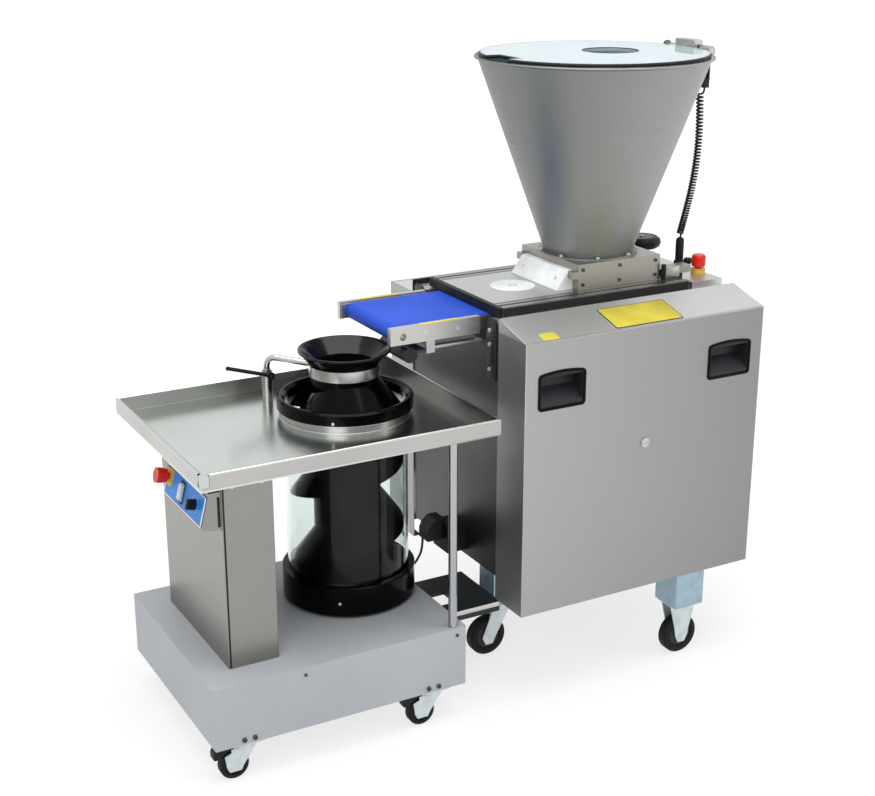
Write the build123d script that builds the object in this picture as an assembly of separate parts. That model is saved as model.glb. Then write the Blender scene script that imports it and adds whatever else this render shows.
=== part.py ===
from build123d import *
import math
import os

# Dough divider rounder: a hopper-fed divider docked to a spiral rounder, on castors.
# Millimetres. X runs from the rounder to the divider, Y to the back, Z up from the floor.

# Shared stock and clearances
sheet = 2.0  # stainless sheet of the covers, panels and casings
run_gap = 0.5  # room between pieces that slide past each other
fit_gap = 0.05  # radial room of a shaft in its bore
seat_gap = 0.3  # room round a piece set into a cut-out

# Divider cabinet and covers
divider_left = 50.0
cover_width = 800.0
cabinet_depth = 770.0
cover_depth = 140.0
cover_bottom = 278.0
cover_shoulder = 1069.0  # the front face turns into the sloping top here
cover_slope = 0.27  # rise of the sloping top per millimetre of depth
cover_lip = 25.0
panel_inset = 4.0
panel_bottom = 345.0
joint_gap = 2.0
deck_top = 1090.0
deck_thick = 4.0
ledge_width = 115.0  # the raised ledge carries the stop, the plug and the handwheel
ledge_top = 1112.0
ledge_half = 200.0

# Cover handles and latch
handle_width = 144.0
handle_height = 102.0
handle_arch = 7.0
handle_drop = 87.0  # from the cover's shoulder to the top of a handle
handle_depth = 48.0
handle_wall = 6.0
handle_edge = 44.0  # from the cover's side to the near edge of a handle
latch_radius = 14.0
latch_proud = 3.0
latch_height = 727.0
latch_cam = 26.0

# Divider frame and its castors
leg_side = 100.0
leg_wall = 4.0
leg_room = 4.0
leg_bottom = 168.0
beam_bottom = 380.0
beam_height = 40.0
beam_width = 60.0
beam_wall = 3.0
right_leg_inset = 205.0  # from the cover's right side to the middle of the right legs
right_leg_y = 331.0
left_leg_x = 172.0
left_leg_y = -64.0
left_leg_side = 84.0
upright_side = 30.0
tongue_thick = 8.0  # of the tongues on the uprights that locate the covers' flanks
tongue_height = 50.0
tongue_reach = 20.0
tongue_heights = (500.0, 940.0)

# Castors
divider_wheel_radius = 60.0
divider_wheel_width = 36.0
divider_trail = 44.0
rounder_wheel_radius = 40.0
rounder_wheel_width = 28.0
rounder_trail = 36.0
castor_plate_thick = 4.0
castor_head_height = 7.0
castor_crown_thick = 4.0
fork_thick = 3.0
fork_waist = 0.38  # half width of the fork's plates at the axle, as a share of the wheel's radius
fork_toe = 0.2  # and at their lower end
fork_foot = 0.62  # height of that end, as a share of the wheel's radius
fork_room = 2.0  # each side of the wheel
kingpin_radius = 6.0
axle_radius = 5.0
pedal_length = 47.0
pedal_width = 26.0
pedal_thick = 12.0
pedal_pin_radius = 2.5

# Slide, chamber plate, piston and scraper
plate_left = 92.0
plate_length = 428.0
plate_half = 147.0
plate_thick = 22.0
plate_top = 1120.0
plate_stroke = 190.0
guide_room = 5.0
guide_width = 46.0
guide_end_gap = 11.0
guide_shelf = 40.0
guide_shelf_thick = 7.0
end_bar_thick = 11.0
piston_x = 243.0
piston_radius = 65.0
piston_thick = 28.0
piston_stroke = 80.0
piston_rod_radius = 12.0
piston_rod_tail = 60.0
sleeve_wall = 10.0
sleeve_room = 17.0
sleeve_floor = 10.0
drive_y = 96.0
drive_z = 1040.0
drive_radius = 18.0
drive_length = 240.0
drive_rod_radius = 7.0
drive_lug = 14.0
scraper_foot = 53.0
scraper_top = 15.0
scraper_height = 54.0
scraper_half = 122.0

# Hopper, lid and hinge
hopper_x = 501.0
hopper_base_left = 368.0
hopper_base_right = 652.0
hopper_base_half = 150.0
hopper_base_top = 1196.0
hopper_base_wall = 10.0
ear_thick = 20.0  # of the two arms that reach back to the lugs on the ledge
tab_reach = 18.0
lug_height = 18.0
lug_length = 30.0
lug_width = 40.0
hopper_outlet_x = 433.0
hopper_outlet_radius = 72.0
hopper_bottom_radius = 127.0
hopper_flare = 0.364  # growth of the cone's radius per millimetre of height
hopper_cone_top = 1749.0
hopper_wall = 2.5
rim_radius = 339.0
rim_bead = 3.0
lid_radius = 322.0
lid_thick = 10.0
lid_hole_radius = 80.0
lid_hole_offset = 55.0
lid_notch_width = 116.0
lid_notch_depth = 46.0
hinge_radius = 7.0
hinge_half = 104.0
hinge_knob_radius = 13.0
hinge_block_front = -54.0
hinge_block_back = 34.0
hinge_block_height = 20.0
hinge_block_length = 32.0
hinge_web = 2.0  # how far the block's web passes the rod's middle, clear of the rim
hinge_collar_y = 48.0
hinge_collar_radius = 12.0
hinge_collar_width = 10.0
hinge_bracket_y = -82.0
hinge_bracket_width = 44.0
hinge_reach = 335.0  # from the hopper's axis to the hinge rod
hinge_drop = 5.0  # of the rod below the lid's top

# Switch lead, stop buttons and handwheel
switch_y = -85.0
switch_top = 1681.0
switch_height = 27.0
switch_side = 18.0
switch_stand = 342.0  # from the hopper's axis
curl_wire = 5.0
curl_radius = 8.5  # of the curls' middle line
curl_count = 48
curl_stretch = 0.28  # how much further apart the upper curls hang
plug_inset = 21.0  # this and the next two are measured from the cover's right side
plug_y = -14.0
plug_radius = 12.0
plug_height = 84.0
plug_taper = 26.0  # length of the plug's tapered top
plug_tip = 6.6  # radius of the plug where the lead leaves it
stop_inset = 28.0
stop_y = -116.0
stop_radius = 21.0
stop_stem = 10.0
stop_collar_height = 15.0
stop_height = 56.0
stop_travel = 5.0
handwheel_inset = 70.0
handwheel_y = 112.0
handwheel_radius = 54.0
handwheel_bottom = 1160.0
handwheel_height = 24.0
handwheel_shaft = 9.0
grip_radius = 8.0
grip_height = 50.0
grip_reach = 40.0

# Conveyor
belt_left = -220.0
belt_right = 152.0
belt_half = 140.0
belt_top = 1092.0
belt_thick = 2.5
belt_room = 2.5  # each side, between the belt and the side frames
roller_radius = 20.0
roller_axle = 6.0
frame_plate = 5.0
frame_left = -232.0
frame_bottom = 1050.0
rail_right = 40.0
rail_bottom = 1048.0
rail_top = 1096.0
rail_thick = 16.0
strut_radius = 8.0
strut_z = 1020.0
strut_left = -108.0
conveyor_motor_x = -128.0
conveyor_motor_z = 984.0
conveyor_motor_radius = 22.0
conveyor_motor_length = 150.0

# Power socket and lead between the machines
socket_front = -70.0
socket_width = 84.0
socket_bottom = 360.0
socket_height = 80.0
socket_depth = 62.0
hood_length = 49.0
hood_width = 54.0
hood_bottom = 395.0
hood_height = 64.0
lead_radius = 3.5
gland_radius = 8.0
gland_length = 8.0
gland_y = 114.0
gland_z = 256.0

# Rounder base, column and table
base_left = -848.0
base_right = -110.0
base_front = -358.0
base_back = 275.0
base_bottom = 105.0
base_top = 282.0
base_sheet = 3.0
column_left = -769.0
column_width = 140.0
column_front = -273.0
column_depth = 455.0
tray_left = -850.0
tray_right = -8.0
tray_front = -360.0
tray_back = 305.0
tray_floor = 825.0
tray_wall = 41.0  # height of its walls above the floor
tray_sheet = 3.0
tray_hem = 9.0
tray_hem_height = 5.0
tray_notch = 22.0
post_radius = 12.0
post_inset = 35.0
post_front_inset = 17.0
post_back_inset = 67.0

# Control box on the column
control_front = -268.0
control_length = 276.0
control_drop = 45.0  # of the box's top below the tray
control_height = 96.0
control_reach = 33.0  # of the panel's upper edge from the column
control_lean = 21.0  # how much further the lower edge stands out
panel_height = 81.0
panel_thick = 2.5
panel_margin = 3.0
panel_stop_u = -114.0  # places along the panel, from its middle towards the front
panel_switch_u = -18.0
panel_stop_v = 12.0  # how far the stop sits above the panel's middle
panel_knob_u = 74.0
panel_stop_radius = 19.0
panel_collar_side = 46.0
panel_collar_thick = 5.0
panel_stop_height = 34.0
rocker_width = 22.0
rocker_height = 52.0
rocker_thick = 9.0
rocker_swing = 8.0
rocker_pivot = 6.0  # depth of its pins below the panel's face
rocker_pin_radius = 2.5
rocker_pin_reach = 3.0
knob_radius = 14.0
knob_height = 22.0

# Drum, auger and funnel
axis_x = -294.0
bowl_radius = 189.0
bowl_bottom = 285.0
bowl_top = 376.0
bowl_floor = 12.0
bowl_step = 12.0
tube_radius = 172.0
tube_wall = 5.0
tube_seat = 17.0  # how far the tube reaches up into the ring
ring_lift = 24.0  # of the ring above the tray's floor
ring_height = 34.0
collar_wall = 3.0
collar_room = 5.0
spindle_radius = 14.0
spindle_bottom = 170.0
auger_radius = 160.0
auger_core = 95.0
auger_wall = 7.0
auger_bottom = 366.0
auger_neck = 126.0  # of the core above the end of the flight
flight_pitch = 197.0
flight_start = 374.0
flight_lift = 11.0  # of the flight's end above the tray's floor
flight_run_out = 200.0  # degrees that the flight runs on level at its top
flight_rise = 88.0  # from the flight's lip up to where its top face meets the core
flight_lip = 6.0
flight_phase = 151.0  # bearing of the lip at the height below
flight_phase_height = 398.0
band_height = 30.0
band_lift = 8.0  # of the band's top above the core's
band_wall = 4.0
funnel_height = 40.0  # above the band
funnel_radius = 128.0
funnel_wall = 5.0
funnel_spigot = 20.0
arm_radius = 6.5
arm_drop = 4.0  # of the arm's level run below the band's top
arm_start_drop = 13.0  # of the arm's end on the band
arm_hold = 35.0  # how deep the lifted arm still sits in its socket
arm_bend = 26.0
arm_lift = 30.0
socket_bearing = 133.6  # of the arm socket about the drum's axis
socket_reach = 233.0
arm_socket_radius = 15.0
arm_socket_height = 98.0  # of the arm socket above the tray's floor
arm_collar_height = 5.0
lever_length = 130.0
lever_radius = 5.5
lever_slope = 17.5
lever_hub_radius = 11.0
lever_hub_length = 16.0
lever_drop = 7.0  # of the lever's pin below the socket's top

# Drum drive
motor_box = 112.0
motor_bottom = 160.0
motor_radius = 58.0
motor_length = 190.0
motor_height = 205.0

# Docking frame
dock_top = 205.0
dock_plate = 10.0
dock_flange = 32.0
dock_front = -140.0
dock_back = 90.0
dock_notch_left = -64.0
dock_notch_right = 14.0
dock_notch_front = -84.0
dock_notch_back = -8.0

# Worked out from the sizes above
divider_right = divider_left + cover_width
divider_middle = (divider_left + divider_right) / 2
front_face = -cabinet_depth / 2
panel_half = cabinet_depth / 2 - cover_depth - joint_gap
panel_left = divider_left + panel_inset
panel_right = divider_right - panel_inset
ledge_left = divider_right - ledge_width
handle_base = cover_shoulder - handle_drop - handle_height
right_leg_x = divider_right - right_leg_inset
guide_right = ledge_left - guide_end_gap
plug_x = divider_right - plug_inset
stop_x = divider_right - stop_inset
handwheel_x = divider_right - handwheel_inset
plate_bottom = plate_top - plate_thick
sleeve_bottom = plate_top - piston_thick - piston_stroke - sleeve_room - sleeve_floor
tray_underside = tray_floor - tray_sheet
tray_rim = tray_floor + tray_wall
control_top = tray_underside - control_drop
control_foot = control_top - control_height
ring_bottom = tray_floor + ring_lift
ring_top = ring_bottom + ring_height
tube_top = ring_bottom + tube_seat
flight_end = tray_floor + flight_lift
auger_top = flight_end + auger_neck
band_top = auger_top + band_lift
band_bottom = band_top - band_height
funnel_top = band_top + funnel_height
arm_top = band_top - arm_drop
arm_start = band_top - arm_start_drop
arm_socket_top = tray_floor + arm_socket_height
arm_bottom = arm_socket_top - arm_lift - arm_hold
lever_height = arm_socket_top - lever_drop
guide_inner = plate_half + guide_room
guide_outer = guide_inner + guide_width
roller_z = belt_top - belt_thick - roller_radius - seat_gap
drive_roller_x = belt_right - belt_thick - roller_radius - seat_gap
idler_roller_x = belt_left + belt_thick + roller_radius + seat_gap
frame_inner = belt_half + belt_room
conveyor_reach = frame_inner + frame_plate + rail_thick + 1.0
hopper_base_bottom = plate_top + run_gap
scraper_left = hopper_base_left - scraper_foot
lid_bottom = hopper_cone_top + 2 * rim_bead + seat_gap
hinge_x = hopper_x + hinge_reach
hinge_z = lid_bottom + lid_thick - hinge_drop
arm_direction = (math.cos(math.radians(socket_bearing)), math.sin(math.radians(socket_bearing)))
arm_socket_x = axis_x + socket_reach * arm_direction[0]
arm_socket_y = socket_reach * arm_direction[1]

os.makedirs("parts", exist_ok=True)


def save(node, *solids):
    """Write one node's solid, or its group of solids, to its own file."""
    shape = solids[0] if len(solids) == 1 else Compound(children=list(solids))
    export_step(shape, f"parts/{node}.step")


def slab(x0, x1, y0, y1, z0, z1):
    """A block between two corners."""
    middle = Pos((x0 + x1) / 2, (y0 + y1) / 2, (z0 + z1) / 2)
    return middle * Box(x1 - x0, y1 - y0, z1 - z0)


def rod(start, direction, radius, length):
    """A round bar from a point along a direction."""
    base = Plane(origin=start, z_dir=direction)
    return base * Cylinder(radius, length, align=(Align.CENTER, Align.CENTER, Align.MIN))


def lathe(outline, x, y):
    """A turned piece on a vertical axis, from its outline of (radius, height) points."""
    face = Plane.XZ * make_face(Polyline(*outline, close=True))
    return Pos(x, y, 0) * revolve(face, Axis.Z)


def pull_x(face, x0, x1):
    """Pull a flat face of (y, z) points along X."""
    base = Plane(origin=(x0, 0, 0), x_dir=(0, 1, 0), z_dir=(1, 0, 0))
    return extrude(base * face, x1 - x0)


def pull_y(face, y0, y1):
    """Pull a flat face of (x, z) points along Y."""
    base = Plane(origin=(0, y1, 0), x_dir=(1, 0, 0), z_dir=(0, -1, 0))
    return extrude(base * face, y1 - y0)


def polygon(*points):
    return make_face(Polyline(*points, close=True))


def hollow_beam(x0, x1, y0, y1, z0, z1, wall, along):
    """A square tube, open at both ends, that runs along one axis."""
    grow = {"x": (1, 0, 0), "y": (0, 1, 0), "z": (0, 0, 1)}[along]
    inset = [-1.0 if step else wall for step in grow]
    outer = slab(x0, x1, y0, y1, z0, z1)
    return outer - slab(
        x0 + inset[0], x1 - inset[0], y0 + inset[1], y1 - inset[1], z0 + inset[2], z1 - inset[2]
    )


# Castors

castor_mounts = []


def castor_wheel(x, y, radius, width):
    """A wheel with a rounded tread, a dished side and a bored hub, on an axle along Y."""
    half = width / 2
    tread = radius * 0.1
    dish = radius * 0.62
    bore = axle_radius + fit_gap
    outline = [
        (bore, -half - 1.0),
        (radius * 0.3, -half - 1.0),
        (radius * 0.34, -half + 4.0),
        (dish, -half + 4.0),
        (dish + tread / 2, -half),
        (radius - tread, -half),
        (radius, -half + tread),
        (radius, half - tread),
        (radius - tread, half),
        (dish + tread / 2, half),
        (dish, half - 4.0),
        (radius * 0.34, half - 4.0),
        (radius * 0.3, half + 1.0),
        (bore, half + 1.0),
    ]
    turned = revolve(Plane.XZ * make_face(Polyline(*outline, close=True)), Axis.Z)
    return Pos(x, y, radius) * (Rot(90, 0, 0) * turned)


def fork_legs(crown_x, axle_x, y, radius, width, crown_top, crown_reach):
    """Two side plates from the crown down to the axle, with the axle through them."""
    leg = None
    for side in (-1, 1):
        inner = y + side * (width / 2 + fork_room)
        outer = inner + side * fork_thick
        outline = polygon(
            (crown_x + crown_reach, crown_top),
            (crown_x - crown_reach, crown_top),
            (axle_x - radius * fork_waist, radius),
            (axle_x - radius * fork_toe, radius * fork_foot),
            (axle_x + radius * fork_toe, radius * fork_foot),
            (axle_x + radius * fork_waist, radius),
        )
        plate = pull_y(outline, min(inner, outer), max(inner, outer))
        leg = plate if leg is None else leg + plate
    reach = width / 2 + fork_room + fork_thick + 2.0
    return leg + rod((axle_x, y - reach, radius), (0, 1, 0), axle_radius, 2 * reach)


def swivel_castor(x, y, top, radius, width, trail, plate_length, plate_width):
    """The bolted top plate with its kingpin, and the fork that turns under it, trailing to -X."""
    head_radius = plate_width * 0.38
    plate_under = top - castor_plate_thick
    head_under = plate_under - castor_head_height
    crown_top = head_under - seat_gap
    crown_under = crown_top - castor_crown_thick
    mount = slab(
        x - plate_length / 2,
        x + plate_length / 2,
        y - plate_width / 2,
        y + plate_width / 2,
        plate_under,
        top,
    )
    mount += rod((x, y, plate_under), (0, 0, -1), head_radius, castor_head_height)
    mount += rod((x, y, head_under), (0, 0, -1), kingpin_radius, castor_crown_thick + seat_gap)
    castor_mounts.append(mount)
    half = width / 2 + fork_room + fork_thick
    crown = rod((x, y, crown_under), (0, 0, 1), head_radius, castor_crown_thick)
    crown += slab(x - head_radius, x + head_radius, y - half, y + half, crown_under, crown_top)
    crown -= rod((x, y, crown_under - 1), (0, 0, 1), kingpin_radius + fit_gap, castor_crown_thick + 2)
    return crown + fork_legs(x, x - trail, y, radius, width, crown_under + 1.0, head_radius)


def fixed_castor(x, y, top, radius, width, plate_length, plate_width):
    """A top plate with the fork riveted to it, which doesn't turn."""
    under = top - castor_plate_thick
    plate = slab(
        x - plate_length / 2, x + plate_length / 2, y - plate_width / 2, y + plate_width / 2, under, top
    )
    castor_mounts.append(plate + fork_legs(x, x, y, radius, width, under + 1.0, plate_length * 0.36))


def brake_pedal(x, y, trail, wheel_top):
    """The pedal in front of the fork, with its pin across the fork's ears."""
    pin_x = x - trail - 4.0
    pin_z = wheel_top + 6.5
    barrel = rod((pin_x, y - pedal_width / 2, pin_z), (0, 1, 0), 5.0, pedal_width)
    plate = slab(
        pin_x - pedal_length,
        pin_x,
        y - pedal_width / 2,
        y + pedal_width / 2,
        pin_z - 1.0,
        pin_z + pedal_thick - 1.0,
    )
    tip = rod((pin_x - pedal_length, y - pedal_width / 2, pin_z + 3.0), (0, 1, 0), 4.0, pedal_width)
    bore = rod((pin_x, y - pedal_width, pin_z), (0, 1, 0), pedal_pin_radius + fit_gap, 2 * pedal_width)
    half = rounder_wheel_width / 2 + fork_room
    pin = rod((pin_x, y - half - 1.0, pin_z), (0, 1, 0), pedal_pin_radius, 2 * half + 2.0)
    for side in (-1, 1):
        inner = y + side * half
        outer = inner + side * fork_thick
        ear = polygon(
            (pin_x - 6.0, pin_z - 5.0),
            (pin_x + 22.0, pin_z - 5.0),
            (pin_x + 22.0, pin_z + 5.0),
            (pin_x - 6.0, pin_z + 5.0),
        )
        pin += pull_y(ear, min(inner, outer), max(inner, outer))
    return barrel + plate + tip - bore, pin


rounder_castor_inset = 93.0
rounder_castor_edge = 33.0
rounder_plate = (88.0, 62.0)
rounder_castor_xs = {"left": base_left + rounder_castor_inset, "right": base_right - rounder_castor_inset}
rounder_castor_ys = {"front": base_front + rounder_castor_edge, "rear": base_back - rounder_castor_edge}

for side, castor_x in rounder_castor_xs.items():
    front_y = rounder_castor_ys["front"]
    fork = swivel_castor(
        castor_x,
        front_y,
        base_bottom,
        rounder_wheel_radius,
        rounder_wheel_width,
        rounder_trail,
        *rounder_plate,
    )
    pedal, pedal_pin = brake_pedal(castor_x, front_y, rounder_trail, 2 * rounder_wheel_radius)
    save(f"rounder_fork_{side}", fork + pedal_pin)
    save(f"brake_pedal_{side}", pedal)
    save(
        f"rounder_wheel_front_{side}",
        castor_wheel(castor_x - rounder_trail, front_y, rounder_wheel_radius, rounder_wheel_width),
    )
    rear_y = rounder_castor_ys["rear"]
    fixed_castor(castor_x, rear_y, base_bottom, rounder_wheel_radius, rounder_wheel_width, *rounder_plate)
    save(
        f"rounder_wheel_rear_{side}",
        castor_wheel(castor_x, rear_y, rounder_wheel_radius, rounder_wheel_width),
    )

divider_plate = (96.0, 80.0)
divider_fork = swivel_castor(
    left_leg_x,
    left_leg_y,
    leg_bottom,
    divider_wheel_radius,
    divider_wheel_width,
    divider_trail,
    *divider_plate,
)
save("divider_fork", divider_fork)
save(
    "divider_wheel_left",
    castor_wheel(left_leg_x - divider_trail, left_leg_y, divider_wheel_radius, divider_wheel_width),
)
for place, leg_y in (("front", -right_leg_y), ("rear", right_leg_y)):
    fixed_castor(right_leg_x, leg_y, leg_bottom, divider_wheel_radius, divider_wheel_width, *divider_plate)
    save(
        f"divider_wheel_right_{place}",
        castor_wheel(right_leg_x, leg_y, divider_wheel_radius, divider_wheel_width),
    )
save("castor_mounts", *castor_mounts)

# Divider frame: legs and beams, welded, and the uprights that stand on it

beam_top = beam_bottom + beam_height
frame = None
uprights = []
for leg_y in (-right_leg_y, right_leg_y):
    half = leg_side / 2
    leg = hollow_beam(
        right_leg_x - half,
        right_leg_x + half,
        leg_y - half,
        leg_y + half,
        leg_bottom,
        beam_top,
        leg_wall,
        "z",
    )
    foot = slab(
        right_leg_x - half, right_leg_x + half, leg_y - half, leg_y + half, leg_bottom, leg_bottom + 6.0
    )
    frame = leg + foot if frame is None else frame + leg + foot
half = left_leg_side / 2
left_leg_front = left_leg_y - half
left_leg_back = left_leg_y + half
frame += hollow_beam(
    left_leg_x - half, left_leg_x + half, left_leg_front, left_leg_back, leg_bottom, beam_top, leg_wall, "z"
)
frame += slab(
    left_leg_x - half, left_leg_x + half, left_leg_front, left_leg_back, leg_bottom, leg_bottom + 6.0
)
beam_y = panel_half - beam_width
for side in (-1, 1):
    near = min(side * beam_y, side * (beam_y + beam_width - joint_gap))
    far = max(side * beam_y, side * (beam_y + beam_width - joint_gap))
    frame += hollow_beam(
        panel_left + sheet, panel_right - sheet, near, far, beam_bottom, beam_top, beam_wall, "x"
    )
    upright_y = side * (panel_half - joint_gap - upright_side / 2)
    tongue_root = panel_half - upright_side / 2
    tongue_near = panel_half + joint_gap + latch_proud
    flank_gap = seat_gap if side < 0 else 0.0
    for end in (-1, 1):
        panel_inner = divider_middle + end * (cover_width / 2 - panel_inset - sheet)
        flank_inner = divider_middle + end * (cover_width / 2 - sheet - flank_gap)
        upright_x = panel_inner - end * upright_side / 2
        upright = slab(
            upright_x - upright_side / 2,
            upright_x + upright_side / 2,
            upright_y - upright_side / 2,
            upright_y + upright_side / 2,
            beam_top,
            deck_top - deck_thick,
        )
        tongue_inner = panel_inner - end * tongue_thick
        outline = polygon(
            (panel_inner, side * tongue_root),
            (panel_inner, side * tongue_near),
            (flank_inner, side * tongue_near),
            (flank_inner, side * (tongue_near + tongue_reach)),
            (tongue_inner, side * (tongue_near + tongue_reach)),
            (tongue_inner, side * tongue_root),
        )
        for tongue_z in tongue_heights:
            upright += extrude(Plane.XY.offset(tongue_z) * outline, tongue_height)
        uprights.append(upright)
frame += hollow_beam(
    right_leg_x - beam_width / 2,
    right_leg_x + beam_width / 2,
    -right_leg_y,
    right_leg_y,
    beam_bottom,
    beam_top,
    beam_wall,
    "y",
)
frame += hollow_beam(
    left_leg_x - beam_width / 2,
    left_leg_x + beam_width / 2,
    -beam_y - 1.0,
    beam_y + 1.0,
    beam_bottom,
    beam_top,
    beam_wall,
    "y",
)
save("divider_frame", frame)
save("divider_uprights", *uprights)

# Cabinet body: two side panels, the deck and the raised ledge, welded

conveyor_room = guide_inner + rail_thick + 6.0
sleeve_radius = piston_radius + sleeve_wall
cabinet = slab(panel_left, panel_left + sheet, -panel_half, panel_half, panel_bottom, deck_top)
cabinet += slab(panel_right - sheet, panel_right, -panel_half, panel_half, panel_bottom, deck_top)
cabinet += slab(panel_left, panel_right, -panel_half, panel_half, deck_top - deck_thick, deck_top)
cabinet += slab(ledge_left, panel_right, -ledge_half, ledge_half, deck_top, ledge_top) - slab(
    ledge_left + sheet,
    panel_right - sheet,
    -ledge_half + sheet,
    ledge_half - sheet,
    deck_top - 1,
    ledge_top - sheet,
)
cabinet -= slab(
    panel_left - 1, belt_right + 12.0, -conveyor_room, conveyor_room, frame_bottom - 24.0, deck_top + 1
)
cabinet -= slab(
    belt_right,
    plate_left + plate_length + plate_stroke + 4.0,
    -drive_y - drive_lug - 4.0,
    drive_y + drive_lug + 4.0,
    deck_top - deck_thick - 1,
    deck_top + 1,
)
lug_left = ledge_left + joint_gap
for side in (-1, 1):
    cabinet += slab(
        lug_left,
        lug_left + lug_length,
        min(side * (hopper_base_half - lug_width), side * hopper_base_half),
        max(side * (hopper_base_half - lug_width), side * hopper_base_half),
        ledge_top - 1,
        ledge_top + lug_height,
    )
cabinet -= rod((handwheel_x, handwheel_y, deck_top), (0, 0, 1), handwheel_shaft + fit_gap, 40.0)
cabinet -= rod((stop_x, stop_y, ledge_top + 1), (0, 0, -1), stop_stem + run_gap, sheet + 2)
save("cabinet_body", cabinet)

# Covers: folded sheet, open towards the cabinet


def cover_profile(inset):
    """The cover's outline from the side, as (y, z) points, drawn in by the sheet."""
    face_y = front_face + inset
    inner_y = front_face + cover_depth + (1.0 if inset else 0.0)
    shoulder = cover_shoulder - inset
    ridge = shoulder + cover_slope * (inner_y - face_y)
    foot = cover_bottom + inset
    return polygon((face_y, foot), (face_y, shoulder), (inner_y, ridge), (inner_y, foot))


def folded_cover():
    shell = pull_x(cover_profile(0.0), divider_left, divider_right)
    shell -= pull_x(cover_profile(sheet), divider_left + sheet, divider_right - sheet)
    shell -= slab(
        right_leg_x - leg_side / 2 - leg_room,
        right_leg_x + leg_side / 2 + leg_room,
        front_face + sheet,
        front_face + cover_depth,
        cover_bottom - 1,
        cover_bottom + sheet + 1,
    )
    return shell - slab(
        divider_left + cover_lip,
        divider_right - cover_lip,
        front_face + cover_lip,
        front_face + cover_depth + 1,
        cover_bottom - 1,
        cover_bottom + sheet + 1,
    )


def arched_face(x_mid, width, base, height):
    """A handle's outline: straight sides and a shallow arched top, as (x, z)."""
    left = x_mid - width / 2
    right = x_mid + width / 2
    spring = base + height - handle_arch
    return make_face(
        [
            Line((left, base), (right, base)),
            Line((right, base), (right, spring)),
            ThreePointArc((right, spring), (x_mid, spring + handle_arch), (left, spring)),
            Line((left, spring), (left, base)),
        ]
    )


handle_reach = cover_width / 2 - handle_edge - handle_width / 2
handle_xs = (divider_middle - handle_reach, divider_middle + handle_reach)
front_cover = folded_cover()
handles = []
for handle_x in handle_xs:
    opening = arched_face(
        handle_x, handle_width + 2 * seat_gap, handle_base - seat_gap, handle_height + 2 * seat_gap
    )
    front_cover -= pull_y(opening, front_face - 1, front_face + sheet + 1)
    cup = pull_y(
        arched_face(handle_x, handle_width, handle_base, handle_height),
        front_face,
        front_face + handle_depth,
    )
    inner_top = handle_base + handle_height - handle_arch - handle_wall
    hollow = polygon(
        (front_face - 1, handle_base + 2 * handle_wall),
        (front_face - 1, inner_top),
        (front_face + handle_depth - handle_wall, inner_top),
        (front_face + handle_depth - handle_wall, handle_base + handle_height / 2),
    )
    cup -= pull_x(
        hollow, handle_x - handle_width / 2 + handle_wall, handle_x + handle_width / 2 - handle_wall
    )
    handles.append(cup)
latch_hole = rod((divider_middle, front_face - 1, latch_height), (0, 1, 0), latch_radius + fit_gap, 10.0)
save("front_cover", front_cover - latch_hole)
save("rear_cover", mirror(Pos(0, -latch_proud, 0) * folded_cover(), about=Plane.XZ))
save("cover_handles", *handles)

latch = rod((divider_middle, front_face - latch_proud, latch_height), (0, 1, 0), latch_radius, 22.0)
latch -= slab(
    divider_middle - latch_radius * 0.8,
    divider_middle + latch_radius * 0.8,
    front_face - latch_proud - 1,
    front_face - latch_proud + 2.0,
    latch_height - 2.0,
    latch_height + 2.0,
)
latch += slab(
    divider_middle - 6.0,
    divider_middle + 6.0,
    front_face + 22.0 - latch_proud - 4.0,
    front_face + 22.0 - latch_proud,
    latch_height - 6.0,
    latch_height + latch_cam,
)
save("cover_latch", latch)

# Slide guides with the end bar, chamber plate, piston and scraper

guides = None
for side in (-1, 1):
    bar = slab(
        plate_left - 1.0,
        guide_right,
        min(side * guide_inner, side * guide_outer),
        max(side * guide_inner, side * guide_outer),
        deck_top,
        plate_top,
    )
    groove_y = side * (guide_inner + guide_width / 2)
    bar -= slab(
        plate_left, guide_right + 1, groove_y - 5.0, groove_y + 5.0, plate_top - 6.0, plate_top + 1
    )
    shelf_y = side * (guide_inner - guide_shelf)
    bar += slab(
        belt_right + 14.0,
        guide_right,
        min(shelf_y, side * guide_inner),
        max(shelf_y, side * guide_inner),
        deck_top,
        deck_top + guide_shelf_thick,
    )
    guides = bar if guides is None else guides + bar
save("slide_guides", guides)
end_bar_right = plate_left - 1.0
save(
    "slide_end_bar",
    slab(
        end_bar_right - end_bar_thick,
        end_bar_right,
        -guide_outer,
        guide_outer,
        belt_top + 2.0,
        plate_top - 1.0,
    ),
)

plate_right = plate_left + plate_length
chamber = slab(plate_left, plate_right, -plate_half, plate_half, plate_bottom, plate_top)
chamber += rod((piston_x, 0, sleeve_bottom), (0, 0, 1), sleeve_radius, plate_bottom - sleeve_bottom)
chamber -= rod(
    (piston_x, 0, sleeve_bottom + sleeve_floor), (0, 0, 1), piston_radius, plate_top - sleeve_bottom
)
chamber -= rod((piston_x, 0, sleeve_bottom - 1), (0, 0, 1), piston_rod_radius + fit_gap, sleeve_floor + 2)
drive_lug_left = plate_right - drive_lug
chamber += slab(
    drive_lug_left, plate_right, drive_y - drive_lug, drive_y + drive_lug, drive_z - drive_lug, plate_bottom
)
drive_end = drive_lug_left - 12.0
drive_start = drive_end - drive_length
chamber += rod((drive_lug_left, drive_y, drive_z), (-1, 0, 0), drive_rod_radius, plate_stroke + 34.0)
save("chamber_plate", chamber)

piston = rod((piston_x, 0, plate_top), (0, 0, -1), piston_radius - 2 * fit_gap, piston_thick)
piston += rod(
    (piston_x, 0, plate_top), (0, 0, -1), piston_rod_radius, plate_top - sleeve_bottom + piston_rod_tail
)
save("piston", piston)

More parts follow.
